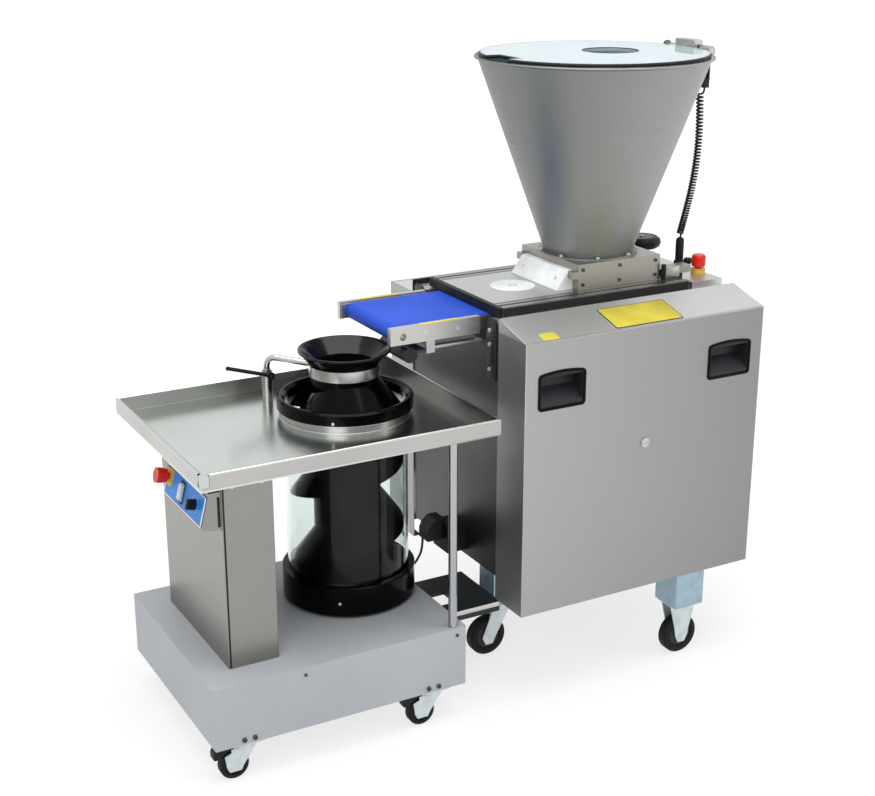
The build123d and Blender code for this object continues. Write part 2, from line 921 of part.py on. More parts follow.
drive = rod((drive_start, drive_y, drive_z), (1, 0, 0), drive_radius, drive_length)
drive -= rod((drive_start + 8.0, drive_y, drive_z), (1, 0, 0), drive_rod_radius + fit_gap, drive_length)
for bracket_x in (drive_start + 20.0, drive_end - 32.0):
    bracket = slab(
        bracket_x,
        bracket_x + 12.0,
        drive_y + drive_radius * 0.6,
        panel_half - upright_side,
        drive_z - 10.0,
        deck_top - deck_thick,
    )
    drive += bracket
save("plate_drive", drive)

scraper = pull_y(
    polygon(
        (scraper_left, hopper_base_bottom),
        (hopper_base_left, hopper_base_bottom),
        (hopper_base_left, hopper_base_bottom + scraper_height),
        (hopper_base_left - scraper_top, hopper_base_bottom + scraper_height),
        (scraper_left, hopper_base_bottom + 3.0),
    ),
    -scraper_half,
    scraper_half,
)
save("scraper", scraper)

# Hopper base, hopper, lid and hinge

base_frame = slab(
    hopper_base_left,
    hopper_base_right,
    -hopper_base_half,
    hopper_base_half,
    hopper_base_bottom,
    hopper_base_top,
)
base_frame -= slab(
    hopper_base_left + hopper_base_wall,
    hopper_base_right - hopper_base_wall,
    -hopper_base_half + hopper_base_wall,
    hopper_base_half - hopper_base_wall,
    hopper_base_bottom + hopper_base_wall,
    hopper_base_top - hopper_base_wall,
)
base_frame -= rod(
    (hopper_x, 0, hopper_base_top - hopper_base_wall - 1),
    (0, 0, 1),
    hopper_bottom_radius - hopper_wall,
    20.0,
)
base_frame -= rod((hopper_outlet_x, 0, hopper_base_bottom - 1), (0, 0, 1), hopper_outlet_radius, 20.0)
lug_top = ledge_top + lug_height
for side in (-1, 1):
    base_frame += slab(
        hopper_base_right - 1,
        lug_left + lug_length,
        min(side * (hopper_base_half - lug_width), side * hopper_base_half),
        max(side * (hopper_base_half - lug_width), side * hopper_base_half),
        lug_top,
        lug_top + ear_thick,
    )
    tab_inner = scraper_half + joint_gap
    base_frame += slab(
        hopper_base_left - tab_reach,
        hopper_base_left + 1,
        min(side * tab_inner, side * hopper_base_half),
        max(side * tab_inner, side * hopper_base_half),
        hopper_base_top - 2 * ear_thick,
        hopper_base_top - ear_thick,
    )
save("hopper_base", base_frame)

cone_rise = hopper_cone_top - hopper_base_top
cone_radius = hopper_bottom_radius + hopper_flare * cone_rise
flange_radius = hopper_bottom_radius + 18.0
flange_thick = 4.0
hopper_shell = lathe(
    [
        (hopper_bottom_radius - hopper_wall, hopper_base_top),
        (flange_radius, hopper_base_top),
        (flange_radius, hopper_base_top + flange_thick),
        (hopper_bottom_radius + hopper_flare * flange_thick + 1.0, hopper_base_top + flange_thick),
        (cone_radius, hopper_cone_top - 2.0),
        (rim_radius - rim_bead, hopper_cone_top),
        (rim_radius - rim_bead, hopper_cone_top + 4.0),
        (cone_radius - hopper_wall, hopper_cone_top + 4.0),
    ],
    hopper_x,
    0,
)
bead = Pos(hopper_x, 0, hopper_cone_top + rim_bead) * Torus(rim_radius - rim_bead, rim_bead)
hopper_shell += bead
hinge_bore = rod((hinge_x, -2 * hinge_half, hinge_z), (0, 1, 0), hinge_radius + fit_gap, 4 * hinge_half)
ear_foot = hinge_z - hinge_collar_radius
for ear_y, ear_width in ((hinge_collar_y, hinge_collar_width), (hinge_bracket_y, hinge_bracket_width)):
    ear_front = ear_y - ear_width / 2
    ear_back = ear_y + ear_width / 2
    rim_x = hopper_x + math.sqrt((rim_radius - rim_bead) ** 2 - ear_y**2)
    ear = rod((hinge_x, ear_front, hinge_z), (0, 1, 0), hinge_collar_radius, ear_width)
    ear += slab(
        hinge_x - hinge_collar_radius, hinge_x + hinge_collar_radius, ear_front, ear_back, ear_foot, hinge_z
    )
    ear += slab(rim_x - rim_bead / 2, hinge_x, ear_front, ear_back, ear_foot, ear_foot + 2 * rim_bead)
    hopper_shell += ear
save("hopper", hopper_shell - hinge_bore)

lid = Pos(hopper_x, 0, lid_bottom + lid_thick / 2) * Cylinder(lid_radius, lid_thick)
lid -= Pos(hopper_x + lid_hole_offset, 0, lid_bottom) * Cylinder(lid_hole_radius, 4 * lid_thick)
lid -= slab(
    hopper_x - lid_radius - 1,
    hopper_x - lid_radius + lid_notch_depth,
    -lid_notch_width / 2,
    lid_notch_width / 2,
    lid_bottom - 1,
    lid_bottom + lid_thick + 1,
)
save("lid", lid)

lid_top = lid_bottom + lid_thick
block_edge = hinge_x + hinge_radius
hinge = rod((hinge_x, -hinge_half, hinge_z), (0, 1, 0), hinge_radius, 2 * hinge_half)
hinge += Pos(hinge_x, hinge_half, hinge_z) * Sphere(hinge_knob_radius)
hinge += slab(
    block_edge - hinge_block_length,
    block_edge,
    hinge_block_front,
    hinge_block_back,
    lid_top,
    lid_top + hinge_block_height,
)
hinge += slab(
    hinge_x - hinge_radius,
    hinge_x + hinge_web,
    hinge_block_front,
    hinge_block_back,
    hinge_z,
    lid_top + 1,
)
save("lid_hinge", hinge)

# Lid switch, its curly lead and the plug on the ledge

switch_bearing = math.asin(switch_y / switch_stand)
switch_x = hopper_x + switch_stand * math.cos(switch_bearing)
switch = slab(
    switch_x - switch_side / 2,
    switch_x + switch_side / 2,
    switch_y - switch_side / 2,
    switch_y + switch_side / 2,
    switch_top - switch_height,
    switch_top,
)
strip_x = hinge_x + 4.0
strip = slab(
    strip_x - 2.0, strip_x + 2.0, switch_y - 9.0, switch_y + 9.0, switch_top - 6.0, ear_foot
)
save("lid_switch", switch + strip)

plug = lathe(
    [
        (0, ledge_top),
        (plug_radius + 4.0, ledge_top),
        (plug_radius + 4.0, ledge_top + 14.0),
        (plug_radius, ledge_top + 18.0),
        (plug_radius, ledge_top + plug_height - plug_taper),
        (plug_tip, ledge_top + plug_height),
        (0, ledge_top + plug_height),
    ],
    plug_x,
    plug_y,
)
save("lead_plug", plug)

lead_top = Vector(switch_x, switch_y, switch_top - switch_height)
lead_foot = Vector(plug_x, plug_y, ledge_top + plug_height)
lead_bow = 24.0  # how far the lead hangs out to the right at its middle
lead_straight = 2 * curl_wire


def lead_middle(share):
    """The middle line of the curls, from the switch (0) to the plug (1), bowed to +X."""
    start = lead_top + Vector(-curl_radius, curl_radius, -lead_straight - curl_radius)
    end = lead_foot + Vector(-curl_radius, -curl_radius, lead_straight + curl_radius)
    straight = start + (end - start) * share
    return straight + Vector(lead_bow * math.sin(math.pi * share), 0, 0)


def lead_point(turn):
    """A point on the curls after a number of turns. The upper curls are pulled further apart."""
    share = turn / curl_count
    middle = lead_middle(share * (1 + curl_stretch) - curl_stretch * share**2)
    angle = 2 * math.pi * turn
    return middle + Vector(curl_radius * math.cos(angle), curl_radius * math.sin(angle), 0)


def lead_heading(turn):
    step = 0.001
    return (lead_point(turn + step) - lead_point(turn - step)).normalized()


def biarc(start, start_heading, end, end_heading):
    """Two arcs that leave and arrive along the given headings and meet smoothly."""
    chord = end - start
    both = start_heading + end_heading
    a = 2 * (1 - start_heading.dot(end_heading))
    b = 2 * chord.dot(both)
    c = -chord.dot(chord)
    if abs(a) < 1e-9:
        reach = -c / b
    else:
        reach = (-b + math.sqrt(b * b - 4 * a * c)) / (2 * a)
    joint = (start + start_heading * reach + end - end_heading * reach) * 0.5
    first = Edge.make_tangent_arc(start, start_heading, joint)
    joint_heading = (end - end_heading * reach - start - start_heading * reach).normalized()
    second = Edge.make_tangent_arc(joint, joint_heading, end)
    return [first, second]


down = Vector(0, 0, -1)
curl_steps = 2
turns = [step / curl_steps for step in range(curl_steps * curl_count + 1)]
edges = [Edge.make_line(lead_top, lead_top + down * lead_straight)]
edges += biarc(lead_top + down * lead_straight, down, lead_point(turns[0]), lead_heading(turns[0]))
for turn, following in zip(turns, turns[1:]):
    edges += biarc(lead_point(turn), lead_heading(turn), lead_point(following), lead_heading(following))
edges += biarc(
    lead_point(turns[-1]), lead_heading(turns[-1]), lead_foot - down * lead_straight, down
)
edges.append(Edge.make_line(lead_foot - down * lead_straight, lead_foot))
lead_path = Wire(edges)
lead_section = Plane(origin=lead_top, z_dir=down) * Circle(curl_wire / 2)
curly_lead = sweep(lead_section, path=lead_path)
tightest = min(edge.radius for edge in edges if edge.geom_type == GeomType.CIRCLE)
samples = [edge.position_at(step / 6) for edge in edges for step in range(6)]
least_gap = min(
    (samples[i] - samples[j]).length - curl_wire
    for i in range(len(samples))
    for j in range(i + 14, min(i + 60, len(samples)))
)
print("curly lead: volume share", curly_lead.volume / (math.pi * curl_wire**2 / 4 * lead_path.length))
print("curly lead: length", lead_path.length, "tightest bend", tightest, "least gap", least_gap)
save("curly_lead", curly_lead)

# Stop buttons and handwheel on the ledge

stop_collar = rod((stop_x, stop_y, ledge_top), (0, 0, 1), stop_radius, stop_collar_height) - rod(
    (stop_x, stop_y, ledge_top - 1), (0, 0, 1), stop_stem + fit_gap, stop_collar_height + 2
)
stop_button = lathe(
    [
        (0, ledge_top + 2.0),
        (stop_stem, ledge_top + 2.0),
        (stop_stem, ledge_top + stop_collar_height + stop_travel + 2.0),
        (stop_radius - 1.0, ledge_top + stop_collar_height + stop_travel + 2.0),
        (stop_radius, ledge_top + stop_collar_height + stop_travel + 5.0),
        (stop_radius, ledge_top + stop_height - 5.0),
        (stop_radius - 4.0, ledge_top + stop_height),
        (0, ledge_top + stop_height),
    ],
    stop_x,
    stop_y,
)
save("divider_stop_button", stop_button)

handwheel = lathe(
    [
        (0, handwheel_bottom + 4.0),
        (handwheel_radius - 14.0, handwheel_bottom + 4.0),
        (handwheel_radius - 12.0, handwheel_bottom),
        (handwheel_radius - 4.0, handwheel_bottom),
        (handwheel_radius, handwheel_bottom + 6.0),
        (handwheel_radius, handwheel_bottom + handwheel_height - 8.0),
        (handwheel_radius - 8.0, handwheel_bottom + handwheel_height),
        (0, handwheel_bottom + handwheel_height),
    ],
    handwheel_x,
    handwheel_y,
)
handwheel += rod(
    (handwheel_x, handwheel_y, ledge_top - 14.0),
    (0, 0, 1),
    handwheel_shaft,
    handwheel_bottom - ledge_top + 20.0,
)
handwheel += lathe(
    [
        (0, handwheel_bottom + handwheel_height - 2.0),
        (grip_radius, handwheel_bottom + handwheel_height - 2.0),
        (grip_radius, handwheel_bottom + handwheel_height + grip_height * 0.6),
        (grip_radius * 0.6, handwheel_bottom + handwheel_height + grip_height),
        (0, handwheel_bottom + handwheel_height + grip_height),
    ],
    handwheel_x - grip_reach * 0.6,
    handwheel_y + grip_reach * 0.3,
)
save("handwheel", handwheel)

# Conveyor: side frames with struts, belt, two rollers and the motor below

conveyor = None
for side in (-1, 1):
    plate = slab(
        frame_left,
        belt_right + 2.0,
        min(side * frame_inner, side * (frame_inner + frame_plate)),
        max(side * frame_inner, side * (frame_inner + frame_plate)),
        frame_bottom,
        belt_top - 2.0,
    )
    for roller_x in (drive_roller_x, idler_roller_x):
        plate -= rod(
            (roller_x, -conveyor_reach, roller_z), (0, 1, 0), roller_axle + fit_gap, 2 * conveyor_reach
        )
    rail_y = frame_inner + frame_plate
    rail = slab(
        frame_left - 3.0,
        rail_right,
        min(side * rail_y, side * (rail_y + rail_thick)),
        max(side * rail_y, side * (rail_y + rail_thick)),
        rail_bottom,
        rail_top,
    )
    rail -= rod(
        (idler_roller_x, -conveyor_reach, roller_z), (0, 1, 0), roller_axle + 4.0, 2 * conveyor_reach
    )
    strut_y = side * (frame_inner - strut_radius + 3.0)
    hanger = slab(
        strut_left - 10.0,
        strut_left + 16.0,
        min(side * frame_inner, side * (frame_inner + frame_plate)),
        max(side * frame_inner, side * (frame_inner + frame_plate)),
        strut_z - strut_radius - 4.0,
        frame_bottom + 4.0,
    )
    strut = rod((strut_left, strut_y, strut_z), (1, 0, 0), strut_radius, panel_left - strut_left)
    conveyor_side = plate + rail + hanger + strut
    conveyor = conveyor_side if conveyor is None else conveyor + conveyor_side
cross_z = roller_z
cross_half = roller_radius - 4.0
conveyor += slab(
    idler_roller_x + roller_radius + 30.0,
    drive_roller_x - roller_radius - 30.0,
    -frame_inner - 1,
    frame_inner + 1,
    cross_z - cross_half,
    cross_z + cross_half,
) - slab(
    idler_roller_x + roller_radius + 34.0,
    drive_roller_x - roller_radius - 34.0,
    -frame_inner - 2,
    frame_inner + 2,
    cross_z - cross_half + 3.0,
    cross_z + cross_half - 3.0,
)
save("conveyor_frame", conveyor)


def belt_loop(radius):
    """The closed outline that the belt makes round both rollers, as (x, z)."""
    return make_face(
        [
            Line((idler_roller_x, roller_z + radius), (drive_roller_x, roller_z + radius)),
            ThreePointArc(
                (drive_roller_x, roller_z + radius),
                (drive_roller_x + radius, roller_z),
                (drive_roller_x, roller_z - radius),
            ),
            Line((drive_roller_x, roller_z - radius), (idler_roller_x, roller_z - radius)),
            ThreePointArc(
                (idler_roller_x, roller_z - radius),
                (idler_roller_x - radius, roller_z),
                (idler_roller_x, roller_z + radius),
            ),
        ]
    )


belt_inner = roller_radius + seat_gap
belt = pull_y(belt_loop(belt_inner + belt_thick), -belt_half, belt_half)
belt -= pull_y(belt_loop(belt_inner), -belt_half - 1, belt_half + 1)
save("conveyor_belt", belt)
for name, roller_x in (("drive_roller", drive_roller_x), ("idler_roller", idler_roller_x)):
    axle_half = frame_inner + frame_plate
    roller = rod((roller_x, -belt_half, roller_z), (0, 1, 0), roller_radius, 2 * belt_half)
    roller += rod((roller_x, -axle_half, roller_z), (0, 1, 0), roller_axle, 2 * axle_half)
    save(name, roller)

motor_half = conveyor_motor_length / 2
conveyor_motor = rod(
    (conveyor_motor_x, -motor_half, conveyor_motor_z),
    (0, 1, 0),
    conveyor_motor_radius,
    conveyor_motor_length,
)
conveyor_motor += slab(
    conveyor_motor_x - 20.0,
    strut_left - 10.0 - seat_gap,
    -frame_inner - frame_plate,
    frame_inner + frame_plate,
    strut_z - 8.0,
    strut_z,
)
conveyor_motor += slab(
    conveyor_motor_x - 20.0,
    conveyor_motor_x + 20.0,
    -motor_half + 20,
    motor_half - 20,
    conveyor_motor_z,
    strut_z,
)
save("conveyor_motor", conveyor_motor)

# Power socket on the left panel and the lead to the rounder's base

socket_left = panel_left - socket_depth
socket_back = socket_front + socket_width
power_socket = slab(
    socket_left, panel_left, socket_front, socket_back, socket_bottom, socket_bottom + socket_height
)
hood_left = socket_left - hood_length
hood_top = hood_bottom + hood_height
hood_outline = polygon(
    (hood_left, hood_bottom),
    (socket_left + 8.0, hood_bottom),
    (socket_left + 8.0, hood_top),
    (hood_left + 0.55 * hood_length, hood_top),
    (hood_left + 0.15 * hood_length, hood_top - 0.28 * hood_height),
    (hood_left, hood_top - 0.55 * hood_height),
)
hood_y = socket_back - hood_width / 2
power_socket += pull_y(hood_outline, hood_y - hood_width / 2, hood_y + hood_width / 2)
save("power_socket", power_socket)

lead_start = Vector(hood_left + 6.0, hood_y + 16.0, hood_bottom)
gland_face = Vector(base_right + gland_length, gland_y, gland_z)
lead_route = [
    lead_start,
    lead_start + Vector(0, 0, -38.0),
    lead_start + Vector(-11.0, 12.0, -77.0),
    gland_face + Vector(36.0, -72.0, 30.0),
    gland_face + Vector(42.0, -42.0, 10.0),
    gland_face + Vector(40.0, -14.0, 1.0),
    gland_face + Vector(22.0, 0, 0),
    gland_face,
]


def cord_radii(points):
    """The largest arc that each corner's two runs allow."""
    radii = []
    for before, corner, after in zip(points, points[1:], points[2:]):
        turn = math.radians((corner - before).get_angle(after - corner))
        shorter = min((corner - before).length, (after - corner).length)
        radii.append(0.45 * shorter / math.tan(turn / 2))
    return radii


lead_radii = cord_radii(lead_route)
print("power lead: radii", [round(radius) for radius in lead_radii])
cord_line = FilletPolyline(*lead_route, radius=lead_radii)
power_lead = sweep(Plane(origin=lead_start, z_dir=(0, 0, -1)) * Circle(lead_radius), path=cord_line)
cord_volume = math.pi * lead_radius**2 * cord_line.length
print("power lead: length", cord_line.length, "volume share", power_lead.volume / cord_volume)
save("power_lead", power_lead)

# Docking frame between the divider's left legs and the rounder's base

dock = slab(
    base_right, left_leg_x - left_leg_side / 2, dock_front, dock_back, dock_top - dock_plate, dock_top
)
dock -= slab(
    dock_notch_left,
    dock_notch_right,
    dock_notch_front,
    dock_notch_back,
    dock_top - dock_plate - 1,
    dock_top + 1,
)
dock += slab(
    base_right,
    left_leg_x - left_leg_side / 2,
    dock_front,
    dock_front + 6.0,
    dock_top - dock_flange,
    dock_top,
)
save("dock_frame", dock)

# Rounder base, open below, with the lead's gland

drum_hole = spindle_radius + 6.0
base = slab(base_left, base_right, base_front, base_back, base_bottom, base_top)
base = fillet(base.edges().filter_by(Axis.Z), 4.0)
base -= slab(
    base_left + base_sheet,
    base_right - base_sheet,
    base_front + base_sheet,
    base_back - base_sheet,
    base_bottom - 1,
    base_top - base_sheet,
)
castor_pad = base_sheet
for castor_x in rounder_castor_xs.values():
    for castor_y in rounder_castor_ys.values():
        base += slab(
            castor_x - rounder_plate[0] / 2,
            castor_x + rounder_plate[0] / 2,
            max(castor_y - rounder_plate[1] / 2 - 4.0, base_front),
            min(castor_y + rounder_plate[1] / 2 + 4.0, base_back),
            base_bottom,
            base_bottom + castor_pad,
        )
base -= rod((axis_x, 0, base_bottom), (0, 0, 1), drum_hole, base_top)
gland = rod(gland_face, (-1, 0, 0), gland_radius, gland_length + 1.0)
save("rounder_base", base + gland)

# Column casing with the control box welded on its left side

column_right = column_left + column_width
column_back = column_front + column_depth
column_top = tray_underside
column = slab(column_left, column_right, column_front, column_back, base_top, column_top)
column = fillet(column.edges().filter_by(Axis.Z), 3.0)
column -= slab(
    column_left + sheet,
    column_right - sheet,
    column_front + sheet,
    column_back - sheet,
    base_top - 1,
    column_top - sheet,
)
control_back = control_front + control_length
panel_top_x = column_left - control_reach
panel_foot_x = panel_top_x - control_lean
panel_foot_z = control_top - 8.0 - panel_height
box_outline = polygon(
    (column_left, control_top),
    (panel_top_x + 3.0, control_top),
    (panel_top_x, control_top - 8.0),
    (panel_foot_x, panel_foot_z),
    (panel_foot_x + 6.0, panel_foot_z - 8.0),
    (column_left, control_foot - 8.0),
)
control_box = pull_y(box_outline, control_front, control_back)
panel_normal = Vector(-panel_height, 0, control_lean).normalized()
panel_middle = Vector(
    (panel_top_x + panel_foot_x) / 2,
    (control_front + control_back) / 2,
    (control_top - 8.0 + panel_foot_z) / 2,
)
panel_plane = Plane(origin=panel_middle, x_dir=(0, -1, 0), z_dir=panel_normal)
panel_length = control_length - 2 * panel_margin
panel_span = math.hypot(panel_height, control_lean) - 2 * panel_margin
panel_face = panel_plane.offset(panel_thick)


def on_panel(shape, u, v=0.0):
    """Set a piece on the panel's outer face, u along it and v up it."""
    return panel_face * (Pos(u, v, 0) * shape)


def stud(radius, low, high):
    return Pos(0, 0, low) * Cylinder(radius, high - low, align=(Align.CENTER, Align.CENTER, Align.MIN))


stem_radius = 9.0
knob_stem = 4.0
rocker_depth = 14.0
control_panel = panel_plane * (Pos(0, 0, panel_thick / 2) * Box(panel_length, panel_span, panel_thick))
stem_hole = stud(stem_radius + fit_gap, -20.0, 20.0)
rocker_hole = Box(rocker_width + 2 * seat_gap, rocker_height + 2 * seat_gap, 2 * rocker_depth + 8.0)
knob_hole = stud(knob_stem + fit_gap, -20.0, 20.0)
for hole, u, v in (
    (stem_hole, panel_stop_u, panel_stop_v),
    (rocker_hole, panel_switch_u, 0.0),
    (knob_hole, panel_knob_u, 0.0),
):
    control_box -= on_panel(hole, u, v)
    control_panel -= on_panel(hole, u, v)


def rocker_pin(radius, length):
    """A pin across the rocker, which it swings on."""
    return Pos(0, 0, -rocker_pivot) * (Rot(0, 90, 0) * Cylinder(radius, length))


pin_length = rocker_width + 2 * rocker_pin_reach
control_box -= on_panel(rocker_pin(rocker_pin_radius + fit_gap, pin_length + 2 * run_gap), panel_switch_u)
save("column_casing", column + control_box)
save("control_panel", control_panel)

panel_collar = Pos(0, 0, panel_collar_thick / 2) * Box(
    panel_collar_side, panel_collar_side, panel_collar_thick
)
panel_collar -= stem_hole
save("stop_collars", stop_collar, on_panel(panel_collar, panel_stop_u, panel_stop_v))

head_foot = panel_collar_thick + stop_travel + 3.0
panel_stop = stud(stem_radius, -8.0, head_foot + 1.0) + stud(
    panel_stop_radius, head_foot, panel_stop_height
)
panel_stop = chamfer(panel_stop.edges().filter_by(GeomType.CIRCLE).sort_by(Axis.Z)[-1], 3.0)
save("rounder_stop_button", on_panel(panel_stop, panel_stop_u, panel_stop_v))

rocker_room = rocker_depth * math.sin(math.radians(rocker_swing)) + 1.0
rocker = Pos(0, 0, (rocker_thick - rocker_depth) / 2) * Box(
    rocker_width - 2 * run_gap, rocker_height - 2 * rocker_room, rocker_thick + rocker_depth
)
rocker = chamfer(rocker.edges().filter_by(Axis.X), 4.0)
rocker += rocker_pin(rocker_pin_radius, pin_length - 2 * run_gap)
save("start_switch", on_panel(rocker, panel_switch_u))

knob = stud(knob_stem, -12.0, 1.0) + stud(knob_radius, run_gap, knob_height * 0.45)
knob += Pos(0, 0, run_gap + knob_height / 2) * Box(knob_radius * 0.62, 2 * knob_radius - 2.0, knob_height)
save("speed_knob", on_panel(knob, panel_knob_u))

# Table tray with its drum collar and arm socket, and the posts under its right side

tray = slab(tray_left, tray_right, tray_front, tray_back, tray_underside, tray_rim)
tray -= slab(
    tray_left + tray_sheet,
    tray_right - tray_sheet,
    tray_front + tray_sheet,
    tray_back - tray_sheet,
    tray_floor,
    tray_rim + 1,
)
tray += slab(tray_left, tray_right, tray_front, tray_back, tray_rim - tray_hem_height, tray_rim) - slab(
    tray_left + tray_hem,
    tray_right - tray_hem,
    tray_front + tray_hem,
    tray_back - tray_hem,
    tray_floor,
    tray_rim + 1,
)
tray -= slab(
    tray_left - 1,
    tray_left + tray_notch,
    tray_front - 1,
    tray_front + tray_notch,
    tray_floor + 8.0,
    tray_rim + 1,
)
collar_inner = tube_radius + collar_room
tray += rod((axis_x, 0, tray_floor), (0, 0, 1), collar_inner + collar_wall, ring_bottom - tray_floor - 2.0)
tray -= rod((axis_x, 0, tray_underside - 1), (0, 0, 1), collar_inner, ring_bottom - tray_underside)
tray += rod(
    (arm_socket_x, arm_socket_y, tray_floor), (0, 0, 1), arm_socket_radius, arm_socket_top - tray_floor
)
tray -= rod(
    (arm_socket_x, arm_socket_y, arm_bottom - 3.0),
    (0, 0, 1),
    arm_radius + fit_gap,
    arm_socket_top - arm_bottom + 10.0,
)
lever_pin_radius = 4.0
lever_face = arm_socket_y - arm_socket_radius - 2.0
tray += rod(
    (arm_socket_x, arm_socket_y - arm_radius - 2.0, lever_height),
    (0, -1, 0),
    lever_pin_radius,
    arm_socket_radius - arm_radius + lever_hub_length,
)
save("table_tray", tray)
posts = []
for post_y in (tray_front + post_front_inset, tray_back - post_back_inset):
    posts.append(
        rod((base_right - post_inset, post_y, base_top), (0, 0, 1), post_radius, tray_underside - base_top)
    )
save("table_posts", *posts)

# Drum: bowl with its spindle, clear tube and top ring

bowl_inner = tube_radius + seat_gap
bowl_seat = bowl_bottom + bowl_floor + bowl_step
bowl = lathe(
    [
        (0, bowl_bottom),
        (bowl_radius - 8.0, bowl_bottom),
        (bowl_radius, bowl_bottom + 8.0),
        (bowl_radius, bowl_top - 2.0),
        (bowl_radius - 2.0, bowl_top),
        (bowl_inner, bowl_top),
        (bowl_inner, bowl_seat),
        (bowl_inner - 12.0, bowl_seat),
        (bowl_inner - 12.0, bowl_bottom + bowl_floor),
        (0, bowl_bottom + bowl_floor),
    ],
    axis_x,
    0,
)
bowl += rod((axis_x, 0, spindle_bottom), (0, 0, 1), spindle_radius, bowl_bottom - spindle_bottom + 1)
save("drum_bowl", bowl)
save(
    "drum_tube",
    lathe(
        [
            (tube_radius - tube_wall, bowl_seat),
            (tube_radius, bowl_seat),
            (tube_radius, tube_top),
            (tube_radius - tube_wall, tube_top),
        ],
        axis_x,
        0,
    ),
)
ring_lip = 4.0
save(
    "drum_ring",
    lathe(
        [
            (bowl_inner, ring_bottom),
            (bowl_radius, ring_bottom),
            (bowl_radius, ring_top - 6.0),
            (bowl_radius - 6.0, ring_top),
            (bowl_inner + 4.0, ring_top),
            (tube_radius - tube_wall + 1.0, tube_top + ring_lip + 4.0),
            (tube_radius - tube_wall + 1.0, tube_top),
            (bowl_inner, tube_top),
        ],
        axis_x,
        0,
    ),
)

# Auger: hollow core with one helical flight, lifted by the feed arm

core = lathe(
    [
        (auger_core - auger_wall, auger_bottom),
        (auger_core, auger_bottom),
        (auger_core, auger_top),
        (auger_core - auger_wall, auger_top),
    ],
    0,
    0,
)
flight_section = Plane.XZ * polygon(
    (auger_core, -flight_lip),
    (auger_radius, -flight_lip / 2),
    (auger_radius, flight_lip / 2),
    (auger_core, flight_rise),
)
flight_path = Helix(flight_pitch, flight_end - flight_start, auger_core)
flight = sweep(flight_section, path=flight_path, is_frenet=True)
start_bearing = flight_phase + 360 * (flight_start - flight_phase_height) / flight_pitch
flight = Pos(0, 0, flight_start) * (Rot(0, 0, start_bearing) * flight)
end_bearing = flight_phase + 360 * (flight_end - flight_phase_height) / flight_pitch
run_out = revolve(flight_section, Axis.Z, flight_run_out)
flight += Pos(0, 0, flight_end) * (Rot(0, 0, end_bearing) * run_out)
save("auger", Pos(axis_x, 0, 0) * core, Pos(axis_x, 0, 0) * flight)
print("auger: flight solids", len(flight.solids()), "volume", flight.volume)

# Funnel and feed arm

spigot_radius = auger_core - auger_wall - seat_gap
save(
    "funnel",
    lathe(
        [
            (spigot_radius - funnel_wall, band_top - funnel_spigot),
            (spigot_radius, band_top - funnel_spigot),
            (spigot_radius, band_top),
            (auger_core + band_wall, band_top),
            (auger_core + band_wall + 6.0, band_top + 12.0),
            (funnel_radius - 4.0, funnel_top - 8.0),
            (funnel_radius, funnel_top - 5.0),
            (funnel_radius - 1.0, funnel_top),
            (funnel_radius - funnel_wall - 1.0, funnel_top - 1.0),
            (auger_core + band_wall + 6.0 - funnel_wall - 2.0, band_top + 14.0),
            (spigot_radius - funnel_wall, band_top),
        ],
        axis_x,
        0,
    ),
)

band = lathe(
    [
        (auger_core + seat_gap, band_bottom),
        (auger_core + band_wall, band_bottom),
        (auger_core + band_wall, band_top),
        (auger_core + seat_gap, band_top),
    ],
    axis_x,
    0,
)
arm_inner = auger_core + band_wall / 2
arm_path = FilletPolyline(
    (axis_x + arm_inner * arm_direction[0], arm_inner * arm_direction[1], arm_start),
    (arm_socket_x, arm_socket_y, arm_top),
    (arm_socket_x, arm_socket_y, arm_bottom),
    radius=arm_bend,
)
arm_section = Plane(origin=arm_path @ 0, z_dir=arm_path % 0) * Circle(arm_radius)
arm = sweep(arm_section, path=arm_path)
arm_collar = rod(
    (arm_socket_x, arm_socket_y, arm_socket_top + seat_gap),
    (0, 0, 1),
    arm_socket_radius - 3.0,
    arm_collar_height,
)
feed_arm = band + arm + arm_collar
feed_arm -= rod((axis_x, 0, band_bottom - 1), (0, 0, 1), auger_core + seat_gap, band_top - band_bottom + 2)
save("feed_arm", feed_arm)

lever_hub = rod((arm_socket_x, lever_face, lever_height), (0, -1, 0), lever_hub_radius, lever_hub_length)
slope = math.radians(lever_slope)
lever_heading = (-math.cos(slope), 0, math.sin(slope))
lever_bar = rod(
    (arm_socket_x, lever_face - lever_hub_length / 2, lever_height),
    lever_heading,
    lever_radius,
    lever_length,
)
lever_bar += Pos(
    arm_socket_x + lever_length * lever_heading[0],
    lever_face - lever_hub_length / 2,
    lever_height + lever_length * lever_heading[2],
) * Sphere(lever_radius * 1.15)
lever_bore = rod(
    (arm_socket_x, arm_socket_y, lever_height), (0, -1, 0), lever_pin_radius + fit_gap, socket_reach
)
save("clamp_lever", lever_hub + lever_bar - lever_bore)

# Gear motor under the base top, which turns the bowl's spindle

half_box = motor_box / 2
drive_motor = slab(
    axis_x - half_box, axis_x + half_box, -half_box, half_box, motor_bottom, base_top - base_sheet
)
drive_motor += rod(
    (axis_x - half_box + 10.0, 0, motor_height), (-1, 0, 0), motor_radius - 6.0, motor_length
)
drive_motor -= rod((axis_x, 0, motor_bottom - 1), (0, 0, 1), spindle_radius + fit_gap, base_top)
save("drive_motor", drive_motor)
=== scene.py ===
import math

